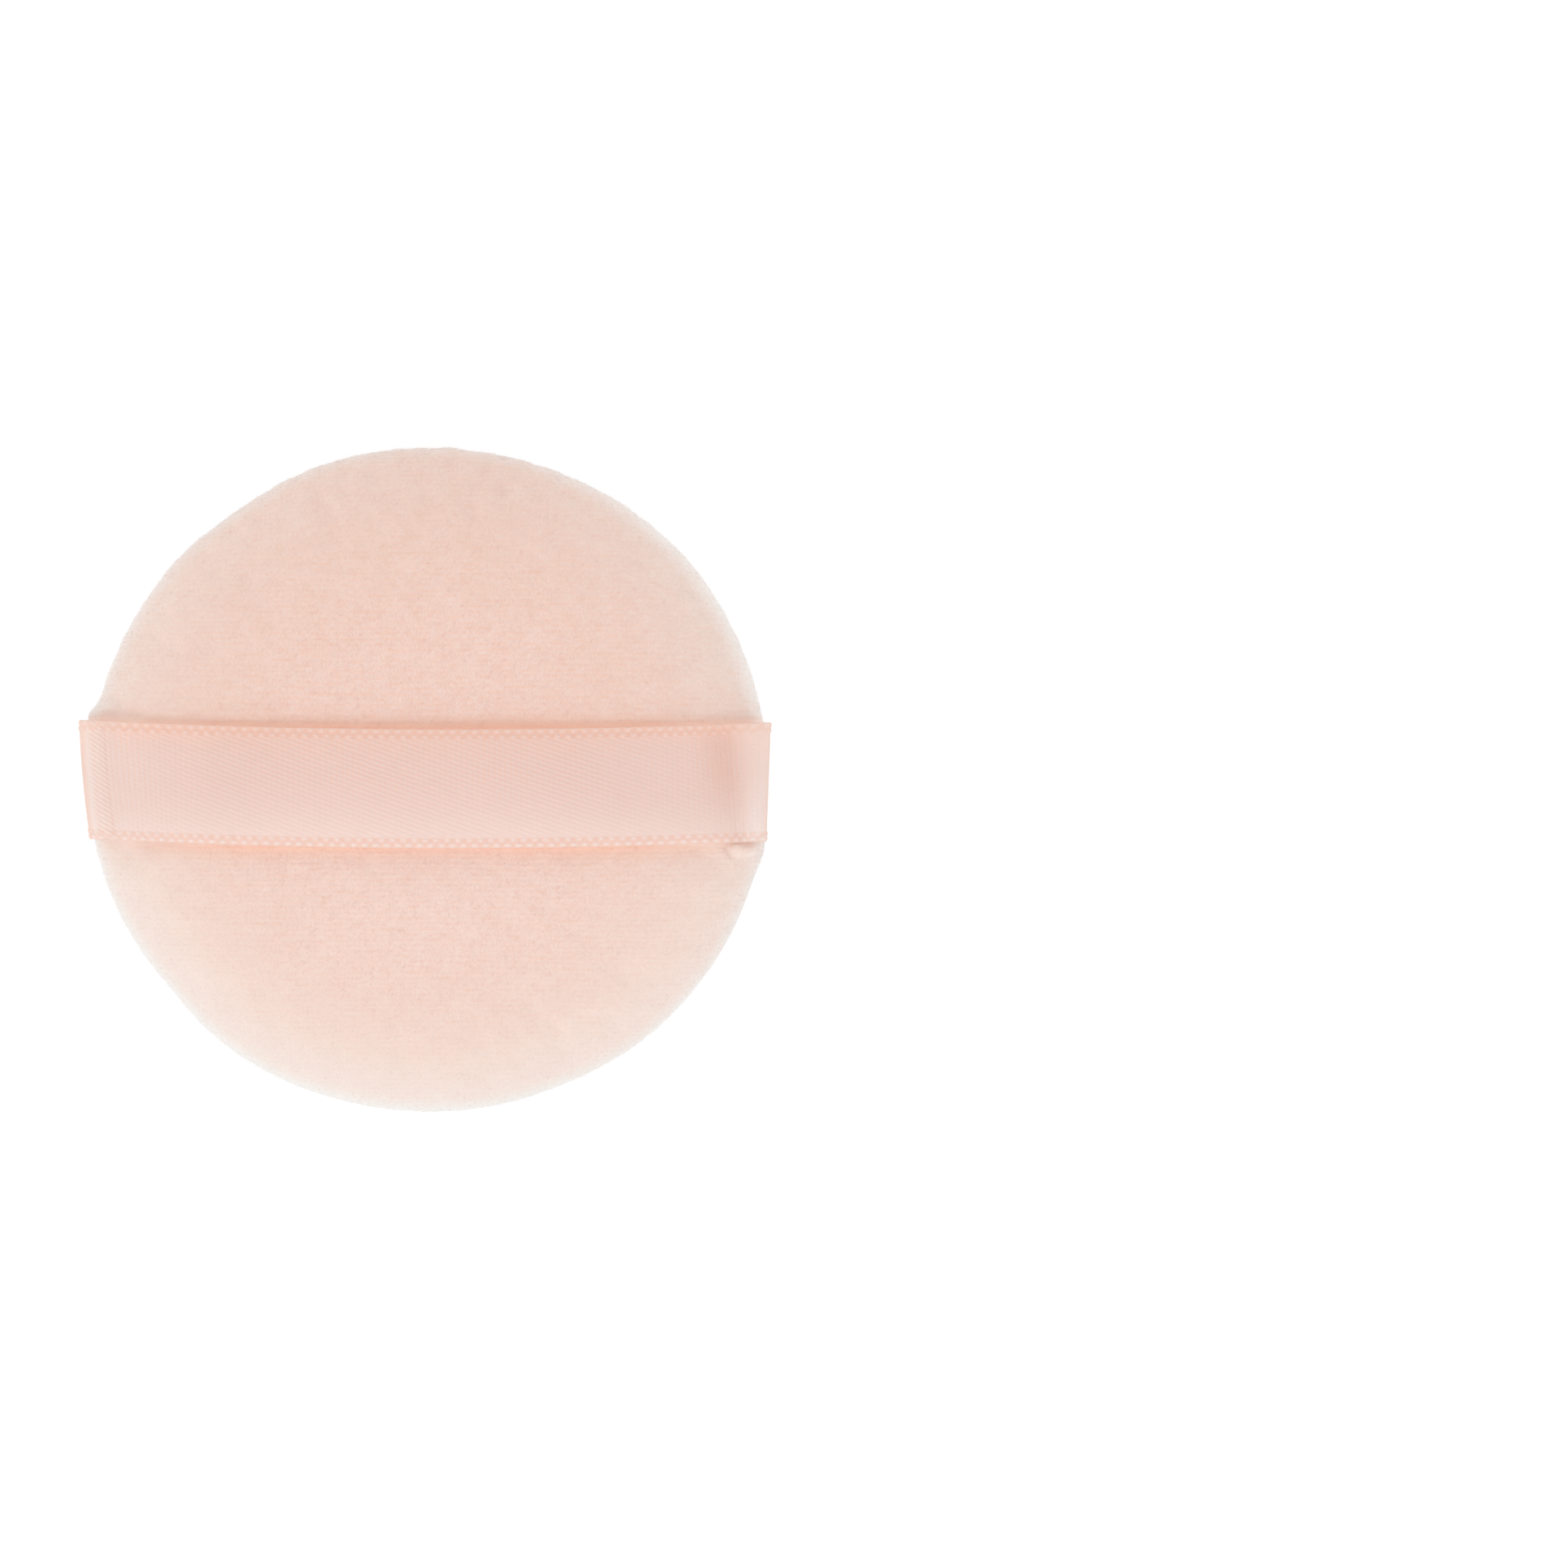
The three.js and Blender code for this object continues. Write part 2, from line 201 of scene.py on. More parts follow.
# Where the photo's outline is flatter or fuller than an oval: direction, depth in mm and width in degrees
FLATTER_PLACES = ((126, 0.33, 11), (151, 0.1, 10), (218, 0.32, 10))
FULLER_PLACES = (
    (169.6, 0.85, 2.0), (348, 0.35, 4), (192, 0.12, 5), (45, 0.32, 20), (95, 0.05, 20),
    (240, 0.16, 14), (275, 0.13, 16), (315, 0.28, 20),
)
OUTLINE_GROWTH = 0.18 * MM  # how far the photo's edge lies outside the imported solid's
RIBBON_EDGE_RUNOUT = 1.6 * MM


def outline(theta):
    """The pad's radius in a direction: an oval, but straight across the ribbon's two ends."""
    across = np.abs(np.cos(theta))
    oval = 1 / np.hypot(across / HALF_LENGTH, np.sin(theta) / HALF_WIDTH) + OUTLINE_GROWTH
    degrees = np.degrees(theta) % 360
    for way, places in ((-1, FLATTER_PLACES), (1, FULLER_PLACES)):
        for direction, depth, width in places:
            oval = oval + way * depth * MM * np.exp(-(((degrees - direction) / width) ** 2))
    past = (np.abs(oval * np.sin(theta)) - RIBBON_WIDTH / 2) / RIBBON_EDGE_RUNOUT
    drawn = np.clip(-past, 0, 1)
    at_an_end = np.cos(theta) ** 2 > 0.5
    drawn = np.where(at_an_end, drawn * drawn * (3 - 2 * drawn), 0)
    chord = HALF_LENGTH / np.maximum(across, 0.5)
    return oval * (1 - drawn) + chord * drawn


# The skin in section: a flat-crowned dome and the fold at the seam, even steps apart

DOME_SAMPLES = 4000
FOLD_SAMPLES = 200


def skin_section(height, inset, steps):
    turn = np.linspace(0, math.pi / 2, DOME_SAMPLES)
    radius = (HALF_LENGTH - inset) * np.sin(turn) ** (2 / SHOULDER_POWER)
    level = (height - inset) * np.cos(turn)
    fold_top = HEM_GAP / 2 + FOLD_RADIUS
    dome = level > fold_top
    fold_turn = np.linspace(0, math.pi / 2, FOLD_SAMPLES)
    fold_centre = radius[dome][-1] - FOLD_RADIUS
    fold_radius = fold_centre + FOLD_RADIUS * np.cos(fold_turn)
    fold_level = fold_top - FOLD_RADIUS * np.sin(fold_turn)
    r = np.concatenate([radius[dome], fold_radius])
    z = np.concatenate([level[dome], fold_level])
    walked = np.concatenate([[0], np.cumsum(np.hypot(np.diff(r), np.diff(z)))])
    even = np.linspace(0, walked[-1], steps + 1)
    return np.interp(even, walked, r), np.interp(even, walked, z), walked[-1]


def soft_max(a, b, blend):
    """The larger of the two, rounded over where they meet."""
    h = np.clip(0.5 + 0.5 * (a - b) / blend, 0, 1)
    return b + (a - b) * h + blend * h * (1 - h)


SKIN_RINGS = 108
SKIN_SEGMENTS = 720
DIMPLE_PITCHES = (1.8 * MM, 4.5 * MM)
DIMPLES = 24
SWELL_PITCHES = (7 * MM, 16 * MM)
SWELLS = 12
CROWN_DIMPLE = 0.014  # heights in mm
RIM_DIMPLE = 0.05
SWELL_HEIGHT = 0.03
SMOOTH_SHARE = 0.85  # of the rim's dimples that the pale side lacks


class Skin:
    """The backing of one velour circle, as a grid of points from its middle to the seam."""

    def __init__(self, height, sign):
        self.sign = sign
        self.theta = np.linspace(0, 2 * math.pi, SKIN_SEGMENTS, endpoint=False)
        radius, level, self.length = skin_section(height, PILE_BED, SKIN_RINGS)
        self.walk = np.linspace(0, self.length, SKIN_RINGS + 1)
        self.u, self.v = polar(self.walk[:, None], self.theta)
        self.plan = polar(outline(self.theta) / HALF_LENGTH, self.theta)
        self.points = np.empty((SKIN_RINGS + 1, SKIN_SEGMENTS, 3))
        self.points[..., 0] = radius[:, None] * self.plan[0]
        self.points[..., 1] = radius[:, None] * self.plan[1]
        self.points[..., 2] = SEAM_Z + sign * level[:, None]
        self.close_seam()
        if sign < 0:
            self.rest_on_floor()

    def close_seam(self):
        """Lets the two folds touch, except where the ribbon passes between them."""
        beside_ribbon = rising(np.abs(self.points[-1, :, 1]), RIBBON_WIDTH / 2, SEAM_REACH)
        near_seam = np.clip((self.walk - self.length) / SEAM_REACH + 1, 0, 1)[:, None]
        self.points[..., 2] -= self.sign * SEAM_CLOSING * HEM_GAP * beside_ribbon * near_seam**2

    def rest_on_floor(self):
        self.points[..., 2] = soft_max(self.points[..., 2], REST_LEVEL, REST_BLEND)

    def normals(self):
        down = np.gradient(self.points, axis=0)
        around = np.roll(self.points, -1, 1) - np.roll(self.points, 1, 1)
        normal = unit(np.cross(down, around)) * self.sign
        normal[0] = (0, 0, self.sign)
        return normal

    def sample(self, field, walk, theta):
        """The value of a grid field at distances from the middle and directions."""
        ring = np.clip(walk / self.length * SKIN_RINGS, 0, SKIN_RINGS - 1e-6)
        turn = (theta % (2 * math.pi)) / (2 * math.pi) * SKIN_SEGMENTS
        i = ring.astype(int)
        j = turn.astype(int) % SKIN_SEGMENTS
        k = (j + 1) % SKIN_SEGMENTS
        f = (ring - i)[:, None]
        g = (turn - np.floor(turn))[:, None]
        near = field[i, j] * (1 - g) + field[i, k] * g
        far = field[i + 1, j] * (1 - g) + field[i + 1, k] * g
        return near * (1 - f) + far * f

    def roughen(self, seed):
        """Unevenness of cloth drawn round a rim: dimples there, hardly any on the crown."""
        way_out = self.walk[:, None] / self.length
        rough = rising(way_out, 0.6, 0.25) * (1 - SMOOTH_SHARE * pale_side(self.theta))
        fade = np.clip((1 - way_out) / 0.05, 0, 1)
        dimples = waves(self.u, self.v, DIMPLE_PITCHES, DIMPLES, seed)
        swells = waves(self.u, self.v, SWELL_PITCHES, SWELLS, seed + 1)
        height = (CROWN_DIMPLE + RIM_DIMPLE * rough) * dimples + SWELL_HEIGHT * swells
        self.points += self.normals() * (height * fade * MM)[..., None]


# Cloth simulation of both covers as one closed pillow, pinned at the seam

def coarse_pillow(back, face):
    rings = SKIN_RINGS // COARSE
    top = back.points[COARSE::COARSE, ::COARSE]
    bottom = face.points[COARSE:-1:COARSE, ::COARSE][::-1]
    seam = (back.points[-1, ::COARSE] + face.points[-1, ::COARSE]) / 2
    shell = np.concatenate([top[:-1], seam[None], bottom])
    segments = shell.shape[1]
    poles = np.stack([back.points[0, 0], face.points[0, 0]])
    points = np.concatenate([shell.reshape(-1, 3), poles])
    count = shell.shape[0] * segments
    faces = [
        ring_faces(shell.shape[0], segments, 0),
        cap_faces(count, 0, segments),
        cap_faces(count + 1, count - segments, segments)[:, ::-1],
    ]
    return points, faces, (shell.shape[0], segments, rings)


def flat_circles(back, face, shape):
    """Where the pillow's points lie when its two circles of cloth lie flat."""
    rings_in_all, segments, rings = shape
    theta = back.theta[::COARSE]
    walks = np.concatenate([back.walk[COARSE::COARSE], face.walk[COARSE:-1:COARSE][::-1]])
    flat = np.zeros((rings_in_all, segments, 3))
    flat[..., 0], flat[..., 1] = polar(walks[:, None], theta)
    flat[:rings, :, 2] = FLAT_RISE
    flat[rings:, :, 2] = -FLAT_RISE
    return np.concatenate([flat.reshape(-1, 3), [[0, 0, FLAT_RISE], [0, 0, -FLAT_RISE]]])


def run_cloth(points, faces, flat_points, pinned):
    """Where the points are once the pressure has swelled the cloth."""
    mesh = new_mesh("pillow", points * SIM_SCALE, faces)
    pillow = new_object("pillow", mesh)
    scene = bpy.context.scene
    pillow.shape_key_add(name="Basis")
    flat = pillow.shape_key_add(name="Flat")
    flat.data.foreach_set("co", (flat_points * SIM_SCALE).ravel())
    flat.value = 0
    pillow.vertex_groups.new(name="pins").add([int(i) for i in pinned], 1, "REPLACE")
    cloth = pillow.modifiers.new("cloth", "CLOTH")
    for name, value in SIM_SETTINGS.items():
        setattr(cloth.settings, name, value)
    cloth.settings.vertex_group_mass = "pins"
    cloth.settings.rest_shape_key = flat
    cloth.settings.effector_weights.gravity = 0
    cloth.point_cache.frame_end = SIM_FRAMES
    for step in range(1, SIM_FRAMES + 1):
        scene.frame_set(step)
    moved = pillow.evaluated_get(bpy.context.evaluated_depsgraph_get())
    places = np.empty(len(points) * 3, np.float32)
    moved.data.vertices.foreach_get("co", places)
    scene.frame_set(1)
    bpy.data.objects.remove(pillow)
    bpy.data.meshes.remove(mesh)
    return places.reshape(-1, 3) / SIM_SCALE


def swell(back, face):
    """Runs the cloth and moves both skins by what it moved, up to the cap."""
    points, faces, shape = coarse_pillow(back, face)
    rings_in_all, segments, rings = shape
    jitter = random.normal(0, SIM_JITTER, points.shape)
    seam = np.arange((rings - 1) * segments, rings * segments)
    resting = np.flatnonzero(points[:, 2] < REST_LEVEL + REST_BLEND)
    pinned = np.concatenate([seam, resting])
    move = run_cloth(points + jitter, faces, flat_circles(back, face, shape), pinned) - points
    size = np.linalg.norm(move, axis=1, keepdims=True)
    move *= np.minimum(1, SWELL_CAP / np.maximum(size, 1e-9))
    rows = keep_measured_width(move[:-2].reshape(rings_in_all, segments, 3), back.theta[::COARSE])
    poles = np.broadcast_to(move[-2:, None, None], (2, 1, segments, 3))
    back.points += finer(np.concatenate([poles[0], rows[:rings]]))
    face.points += finer(np.concatenate([poles[1], rows[rings:][::-1], rows[rings - 1:rings]]))
    face.rest_on_floor()


def keep_measured_width(rows, theta):
    """Takes each ring's mean pull inwards out of the move, and leaves its unevenness."""
    outward = np.stack([np.cos(theta), np.sin(theta), np.zeros(len(theta))], axis=-1)
    pull = np.sum(rows * outward, axis=-1).mean(axis=1)
    return rows - pull[:, None, None] * outward


def finer(coarse):
    """A field on every sixth line of the skin's grid, smoothly filled in between."""
    rings = np.arange(SKIN_RINGS + 1) / COARSE
    turns = np.arange(SKIN_SEGMENTS) / COARSE
    along = cubic_fill(coarse, rings, 0, wrap=False)
    return cubic_fill(along, turns, 1, wrap=True)


def cubic_fill(field, places, axis, wrap):
    count = field.shape[axis]
    base = np.floor(places).astype(int)
    part = (places - base).reshape([-1 if a == axis else 1 for a in range(3)])

    def at(offset):
        index = (base + offset) % count if wrap else np.clip(base + offset, 0, count - 1)
        return np.take(field, index, axis=axis)

    a, b, c, d = at(-1), at(0), at(1), at(2)
    return b + 0.5 * part * (c - a + part * (2 * a - 5 * b + 4 * c - d + part * (3 * (b - c) + d - a)))


# Tucks of velour at the ribbon's ends, as short ridges: from, to, height and half width in mm
TUCKS = (
    ((31.1, -7.0), (32.3, -7.05), 1.1, 0.75),
    ((29.9, -7.0), (30.5, -7.9), -0.12, 0.25),
    ((-34.6, 6.9), (-31.8, 7.4), 0.30, 0.5),
)


def raise_tucks(skin):
    lift = np.zeros(skin.points.shape[:2])
    for start, end, height, half_width in TUCKS:
        a, b = np.array(start) * MM, np.array(end) * MM
        along = b - a
        share = ((skin.points[..., :2] - a) @ along) / (along @ along)
        nearest = a + np.clip(share, 0, 1)[..., None] * along
        away = np.linalg.norm(skin.points[..., :2] - nearest, axis=-1)
        lift += height * MM * np.exp(-((away / (half_width * MM)) ** 4))
    skin.points[..., 2] += lift


WALL_AT_RIM = 1.6 * VELOUR_THICKNESS
WALL_RINGS = 12


def velour_cover(name, skin, material):
    """The skin with its turned hem and the wall's inner face: one closed shell."""
    plan = np.stack(skin.plan, axis=-1)
    sign = skin.sign

    def ring(radius, level):
        points = np.empty((SKIN_SEGMENTS, 3))
        points[:, :2] = radius * plan
        points[:, 2] = SEAM_Z + sign * level
        return points

    under = HEM_GAP / 2
    top = under + HEM_THICKNESS
    hem_edge = HALF_LENGTH - HEM_WIDTH
    rings = list(skin.points[1:])
    rings += [ring(hem_edge, under), ring(hem_edge, top)]
    inner_height = (BACK_HEIGHT if sign > 0 else SEAM_Z) - VELOUR_THICKNESS - SWELL_CAP
    start = math.acos(top / inner_height)
    for turn in np.linspace(start, 0, WALL_RINGS + 1)[:-1]:
        radius = (HALF_LENGTH - WALL_AT_RIM) * math.sin(turn) ** (2 / SHOULDER_POWER)
        rings.append(ring(radius, inner_height * math.cos(turn)))
    points = np.concatenate([
        skin.points[0, :1],
        np.concatenate(rings),
        [[0, 0, SEAM_Z + sign * inner_height]],
    ])
    last = 1 + (len(rings) - 1) * SKIN_SEGMENTS
    faces = [
        cap_faces(0, 1, SKIN_SEGMENTS),
        ring_faces(len(rings), SKIN_SEGMENTS, 1),
        cap_faces(len(points) - 1, last, SKIN_SEGMENTS)[:, ::-1],
    ]
    if sign < 0:
        faces = [group[:, ::-1] for group in faces]
    walk = np.concatenate([[0], np.repeat(np.arange(1, len(rings) + 1), SKIN_SEGMENTS), [0]])
    turns = np.concatenate([[0], np.tile(skin.theta, len(rings)), [0]])
    reach = np.minimum(walk, SKIN_RINGS) / SKIN_RINGS * skin.length
    return add_piece(name, points, faces, material, np.stack(polar(reach, turns), axis=-1))


# Pile: short fibres that stand on the knit's courses, each a slim closed pyramid

PILE_LENGTH = 0.42 * MM
LENGTH_SHARES = (0.7, 1.15)  # shortest and longest, of PILE_LENGTH
PILE_RADIUS = 0.014 * MM
ROOT_DEPTH = 0.03 * MM
FIBRES_A_SHADE = 48000
SEAM_MARGIN = 0.15 * MM
ROW_DRAW = 0.08 * COURSE  # how far the knit's loops draw the roots together
COLUMN_DRAW = 0.04 * WALE
COMB_PITCHES = (3 * MM, 9 * MM)
COMB_WAVES = 10
COMB_LEAN = 0.22  # of the brushed fibres, patch by patch
COMB_DOWN = -0.15  # of all fibres, towards -Y
STRAY_LEAN = 0.35  # of each fibre on its own
RIM_CUT = 0.35  # share by which fibres are shorter at the rim, all round
PALE_RIM_CUT = 0.25  # and more on the pale side
PRESSED_CUT = 0.5  # under the ribbon's ends
SEAM_CUT = 0.6  # on the powder face, beside the seam
PYRAMID = np.array([[0, 1, 3], [1, 2, 3], [2, 0, 3], [0, 2, 1]])


def fibre_roots(skin, rim_share, seed):
    """Random places on the cloth, drawn towards the rows of loops that hold the pile."""
    source = np.random.default_rng(seed)
    reach = skin.length - SEAM_MARGIN
    walk = reach * np.sqrt(source.uniform(0, 1, 2 * FIBRES_A_SHADE))
    theta = source.uniform(0, 2 * math.pi, len(walk))
    # More of the pale fibres stand at the rim and on the pale side, as painted sheen
    nearness = rising(walk / reach, 0.6, 0.4) * (0.35 + 0.65 * pale_side(theta))
    chance = (1 - nearness) * (1 - rim_share) + nearness * rim_share
    kept = np.flatnonzero(source.uniform(0, 1, len(walk)) < chance)[:FIBRES_A_SHADE]
    walk, theta = walk[kept], theta[kept]
    u, v = polar(walk, theta)
    v += ROW_DRAW * np.sin(2 * math.pi * v / COURSE)
    u += COLUMN_DRAW * np.sin(2 * math.pi * u / WALE)
    return np.minimum(np.hypot(u, v), reach), np.arctan2(v, u), source


def fibre_ways(walk, theta, normal, source):
    """The directions in which fibres stand: along the normal, but combed and stray."""
    u, v = polar(walk, theta)
    comb = np.stack([
        COMB_LEAN * waves(u, v, COMB_PITCHES, COMB_WAVES, 21),
        COMB_DOWN + COMB_LEAN * waves(u, v, COMB_PITCHES, COMB_WAVES, 22),
        np.zeros(len(walk)),
    ], axis=-1)
    lean = source.normal(0, STRAY_LEAN, normal.shape) + comb
    lean -= normal * np.sum(lean * normal, axis=1, keepdims=True)
    return unit(normal + lean)


def fibre_lengths(skin, walk, theta, root, source):
    """Shorter towards the rim, under the ribbon's ends and beside the seam."""
    way_out = walk / skin.length
    cut = rising(way_out, 0.5, 0.3) * (RIM_CUT + PALE_RIM_CUT * pale_side(theta))
    length = PILE_LENGTH * source.uniform(*LENGTH_SHARES, len(walk)) * (1 - cut)
    if skin.sign > 0:
        return length * (1 - PRESSED_CUT * pressed_by_ribbon(root))
    return length * (1 - SEAM_CUT * rising(way_out, 0.88, 0.08))


def pressed_by_ribbon(points):
    covered = np.abs(points[:, 1] - ribbon_sway(points[:, 0])) < RIBBON_WIDTH / 2 + 0.3 * MM
    near_end = np.abs(points[:, 0]) > 22 * MM
    return (covered & near_end).astype(float)


def velour_pile(name, skin, material, rim_share, seed):
    walk, theta, source = fibre_roots(skin, rim_share, seed)
    root = skin.sample(skin.points, walk, theta)
    normal = unit(skin.sample(skin.normals(), walk, theta))
    way = fibre_ways(walk, theta, normal, source)
    tip = root + way * fibre_lengths(skin, walk, theta, root, source)[:, None]
    if skin.sign < 0:
        tip[:, 2] = np.maximum(tip[:, 2], 0.02 * MM)
    across = unit(np.cross(way, normal + [0.013, 0.021, 0.034]))
    other = np.cross(way, across)
    base = root - normal * ROOT_DEPTH
    corners = [
        base + PILE_RADIUS * (math.cos(turn) * across + math.sin(turn) * other)
        for turn in (0, 2 * math.pi / 3, 4 * math.pi / 3)
    ]
    points = np.stack([*corners, tip], axis=1).reshape(-1, 3)
    start = np.arange(len(walk))[:, None, None] * 4
    pile = add_piece(name, points, [(start + PYRAMID).reshape(-1, 3)], material)
    pile.data.shade_flat()
    return pile


# Ribbon

RIBBON_LENGTH = 87.5 * MM  # from tail to tail, as the path below measures
LEFT_RIDGE = 10.4 * MM  # along the ribbon, where its left fold stands up
RIBBON_THICKNESS = 0.3 * MM
RIBBON_ALONG = 840
SELVEDGE = 1.3 * MM
SELVEDGE_STEPS = 14
BODY_STEPS = 30
SPAN_RISES = (2.85 * MM, 1.65 * MM)  # of the span's lower and upper edge over the crown
END_RISE = 0.65 * MM
CROWN_DROP = 0.35 * MM  # of the ribbon's edges under its middle line
CROWN_DROP_REACH = 30 * MM
LEFT_BOW = 0.6  # how much the left fold's line is bent
SWAY = 0.8 * MM  # of the span's middle towards -Y
TILT = 0.12 * MM

# The way each edge of the ribbon goes at its two ends, in mm: in from the pad's end, and up from the seam
LEFT_UPPER = (
    (4.7, 0), (2.5, 0), (0.4, 0), (-0.1, 0.35), (-0.55, 1.3), (-0.85, 2.5), (-0.75, 3.6), (-0.15, 4.5),
    (0.6, 5.1), (1.1, 5.15), (1.7, 4.95), (2.3, 4.8), (3.2, 4.95), (4.3, 5.3),
)
LEFT_LOWER = (
    (4.7, 0), (2.5, 0), (0.9, 0), (0.45, 0.35), (0.25, 1.3), (0.2, 2.5), (0.3, 3.6), (0.8, 4.5),
    (1.5, 5.05), (2.05, 5.15), (2.9, 4.98), (3.7, 4.95), (4.4, 5.2), (5.2, 5.55),
)
RIGHT_UPPER = (
    (4.7, 0), (2.5, 0), (0.4, 0), (0.0, 0.35), (-0.1, 1.5), (-0.15, 3.0), (-0.12, 4.0), (0.15, 4.6),
    (0.8, 4.88), (1.8, 4.88), (2.9, 4.75), (3.8, 4.75), (5.0, 5.3), (6.2, 5.9),
)
RIGHT_LOWER = (
    (4.7, 0), (2.5, 0), (0.7, 0), (0.4, 0.35), (0.3, 1.5), (0.3, 3.0), (0.33, 4.0), (0.55, 4.55),
    (1.1, 4.78), (1.7, 4.65), (2.4, 4.48), (3.0, 4.5), (4.1, 4.95), (5.5, 5.65),
)
SPAN_STEPS = (0.78, 0.6, 0.4, 0.2, 0)
SPAN_INSET = 4.3 * MM


def ribbon_sway(x):
    """How far the ribbon's middle line lies towards +Y."""
    share = np.clip(np.asarray(x) / HALF_LENGTH, -1, 1)
    return -SWAY * (1 - share**2) - TILT * (1 + share)


def dome_level(x):
    share = np.minimum(np.abs(x) / HALF_LENGTH, 1)
    return BACK_HEIGHT * np.sqrt(1 - share**SHOULDER_POWER)


def edge_path(left_end, right_end, span_rise):
    """The way from tail to tail of one edge of the ribbon, seen from the side."""
    left, right = (
        [(sign * (HALF_LENGTH - inset * MM), level * MM) for inset, level in places]
        for sign, places in ((-1, left_end), (1, right_end))
    )
    reach = HALF_LENGTH - SPAN_INSET
    span = []
    for step in (*(-s for s in SPAN_STEPS), *SPAN_STEPS[-2::-1]):
        x = step * reach
        rise = END_RISE + (span_rise - END_RISE) * (1 - step**2)
        span.append((x, float(dome_level(x)) + rise))
    return smooth_path(np.array(left + span + right[::-1]))


def smooth_path(places, steps=24):
    """A centripetal curve through the places."""
    def between(p, q, tp, tq):
        return (tq - t) / (tq - tp) * p + (t - tp) / (tq - tp) * q

    ends = np.concatenate([[2 * places[0] - places[1]], places, [2 * places[-1] - places[-2]]])
    curve = []
    for p0, p1, p2, p3 in zip(ends, ends[1:], ends[2:], ends[3:]):
        t0 = 0.0
        t1 = t0 + math.dist(p0, p1) ** 0.5
        t2 = t1 + math.dist(p1, p2) ** 0.5
        t3 = t2 + math.dist(p2, p3) ** 0.5
        for t in np.linspace(t1, t2, steps, endpoint=False):
            early, mid, late = between(p0, p1, t0, t1), between(p1, p2, t1, t2), between(p2, p3, t2, t3)
            curve.append(between(between(early, mid, t0, t2), between(mid, late, t1, t3), t1, t2))
    curve.append(places[-1])
    return np.array(curve)


BEAD_PITCH = 1.105 * MM
BEAD_RELIEF = 0.12 * MM
BEAD_WIDTH = 0.20 * MM
BEAD_ROWS = ((0.28 * MM, 0.0), (0.80 * MM, math.pi))  # in from the edge, and phase


def selvedge_beads(s, edge):
    """Height, 0 to 1, of the loops of weft along the ribbon's edges."""
    height = 0
    for row, phase in BEAD_ROWS:
        bead = 0.5 + 0.5 * np.cos(2 * math.pi * s / BEAD_PITCH + phase)
        height = height + bead**1.5 * np.exp(-(((edge - row) / BEAD_WIDTH) ** 2))
    return height


def ribbon_columns():
    half = RIBBON_WIDTH / 2
    edge = np.linspace(0, SELVEDGE, SELVEDGE_STEPS, endpoint=False)
    body = np.linspace(SELVEDGE - half, half - SELVEDGE, BODY_STEPS + 1)
    return np.concatenate([-half + edge, body, (half - edge)[::-1]])


def ribbon_surface(lower, upper, s, walked, w):
    """The ribbon's middle surface seen from the side: how far along and how high it is."""
    edges = [[np.interp(s, walked, edge[:, axis])[:, None] for axis in (0, 1)] for edge in (lower, upper)]
    bow = 1 + LEFT_BOW * rising(-edges[1][0], 28 * MM, 4 * MM)
    across = 1 - (0.5 - w / RIBBON_WIDTH)[None, :] ** bow
    x = edges[0][0] * (1 - across) + edges[1][0] * across
    z = edges[0][1] * (1 - across) + edges[1][1] * across
    beyond = np.clip(1 - (x / CROWN_DROP_REACH) ** 2, 0, 1)
    return x, z - CROWN_DROP * beyond**0.5 * (2 * w / RIBBON_WIDTH) ** 2


def ribbon_layers(x, z, s, w):
    """The points of its two faces, with the selvedges' loops standing out of both."""
    dx, dz = np.gradient(x, s, axis=0), np.gradient(z, s, axis=0)
    size = np.hypot(dx, dz)
    relief = BEAD_RELIEF * selvedge_beads(s[:, None], (RIBBON_WIDTH / 2 - np.abs(w))[None, :])
    grid = np.empty((2, len(s), len(w), 3))
    for layer, way in enumerate((1, -1)):
        lift = way * (RIBBON_THICKNESS / 2 + relief)
        grid[layer, ..., 0] = x - dz / size * lift
        grid[layer, ..., 1] = w + ribbon_sway(x)
        grid[layer, ..., 2] = SEAM_Z + z + dx / size * lift
    return grid.reshape(-1, 3)


def ribbon(face, back):
    lower = edge_path(LEFT_LOWER, RIGHT_LOWER, SPAN_RISES[0])
    upper = edge_path(LEFT_UPPER, RIGHT_UPPER, SPAN_RISES[1])
    middle = (upper + lower) / 2
    walked = np.concatenate([[0], np.cumsum(np.hypot(*np.diff(middle, axis=0).T))])
    length = walked[-1]
    s = np.linspace(0, length, RIBBON_ALONG + 1)
    w = ribbon_columns()
    x, z = ribbon_surface(lower, upper, s, walked, w)
    points = ribbon_layers(x, z, s, w)
    uv = np.stack(np.broadcast_arrays(s[:, None], w[None, :]), axis=-1).reshape(-1, 2)
    faces = slab_faces(len(s), len(w))
    piece = add_piece("satin_ribbon", points, faces, face, np.concatenate([uv, uv]))
    piece.data.materials.append(back)
    a_side = (len(s) - 1) * (len(w) - 1)
    side = np.zeros(len(piece.data.polygons), np.int32)
    side[a_side:2 * a_side] = 1
    piece.data.polygons.foreach_set("material_index", side)
    return piece, length


def slab_faces(rows, columns):
    """Faces of a closed slab of two layers of points."""
    layer = rows * columns
    top = strip(np.arange(rows - 1)[:, None] * columns + np.arange(columns - 1)[None, :], columns, 1)
    first = np.arange(rows - 1) * columns
    start = np.arange(columns - 1)
    walls = [
        strip(first, layer, columns),
        strip(first + columns - 1, columns, layer),
        strip(start, 1, layer),
        strip(start + (rows - 1) * columns, layer, 1),
    ]
    return [np.concatenate([top, top[:, ::-1] + layer, *walls])]


def strip(corner, one_way, other_way):
    """Quads that reach from their first corners by a step each way."""
    steps = (corner, corner + one_way, corner + one_way + other_way, corner + other_way)
    return np.stack(steps, axis=-1).reshape(-1, 4)


# Materials. Colours are sRGB, from 0 to 255.

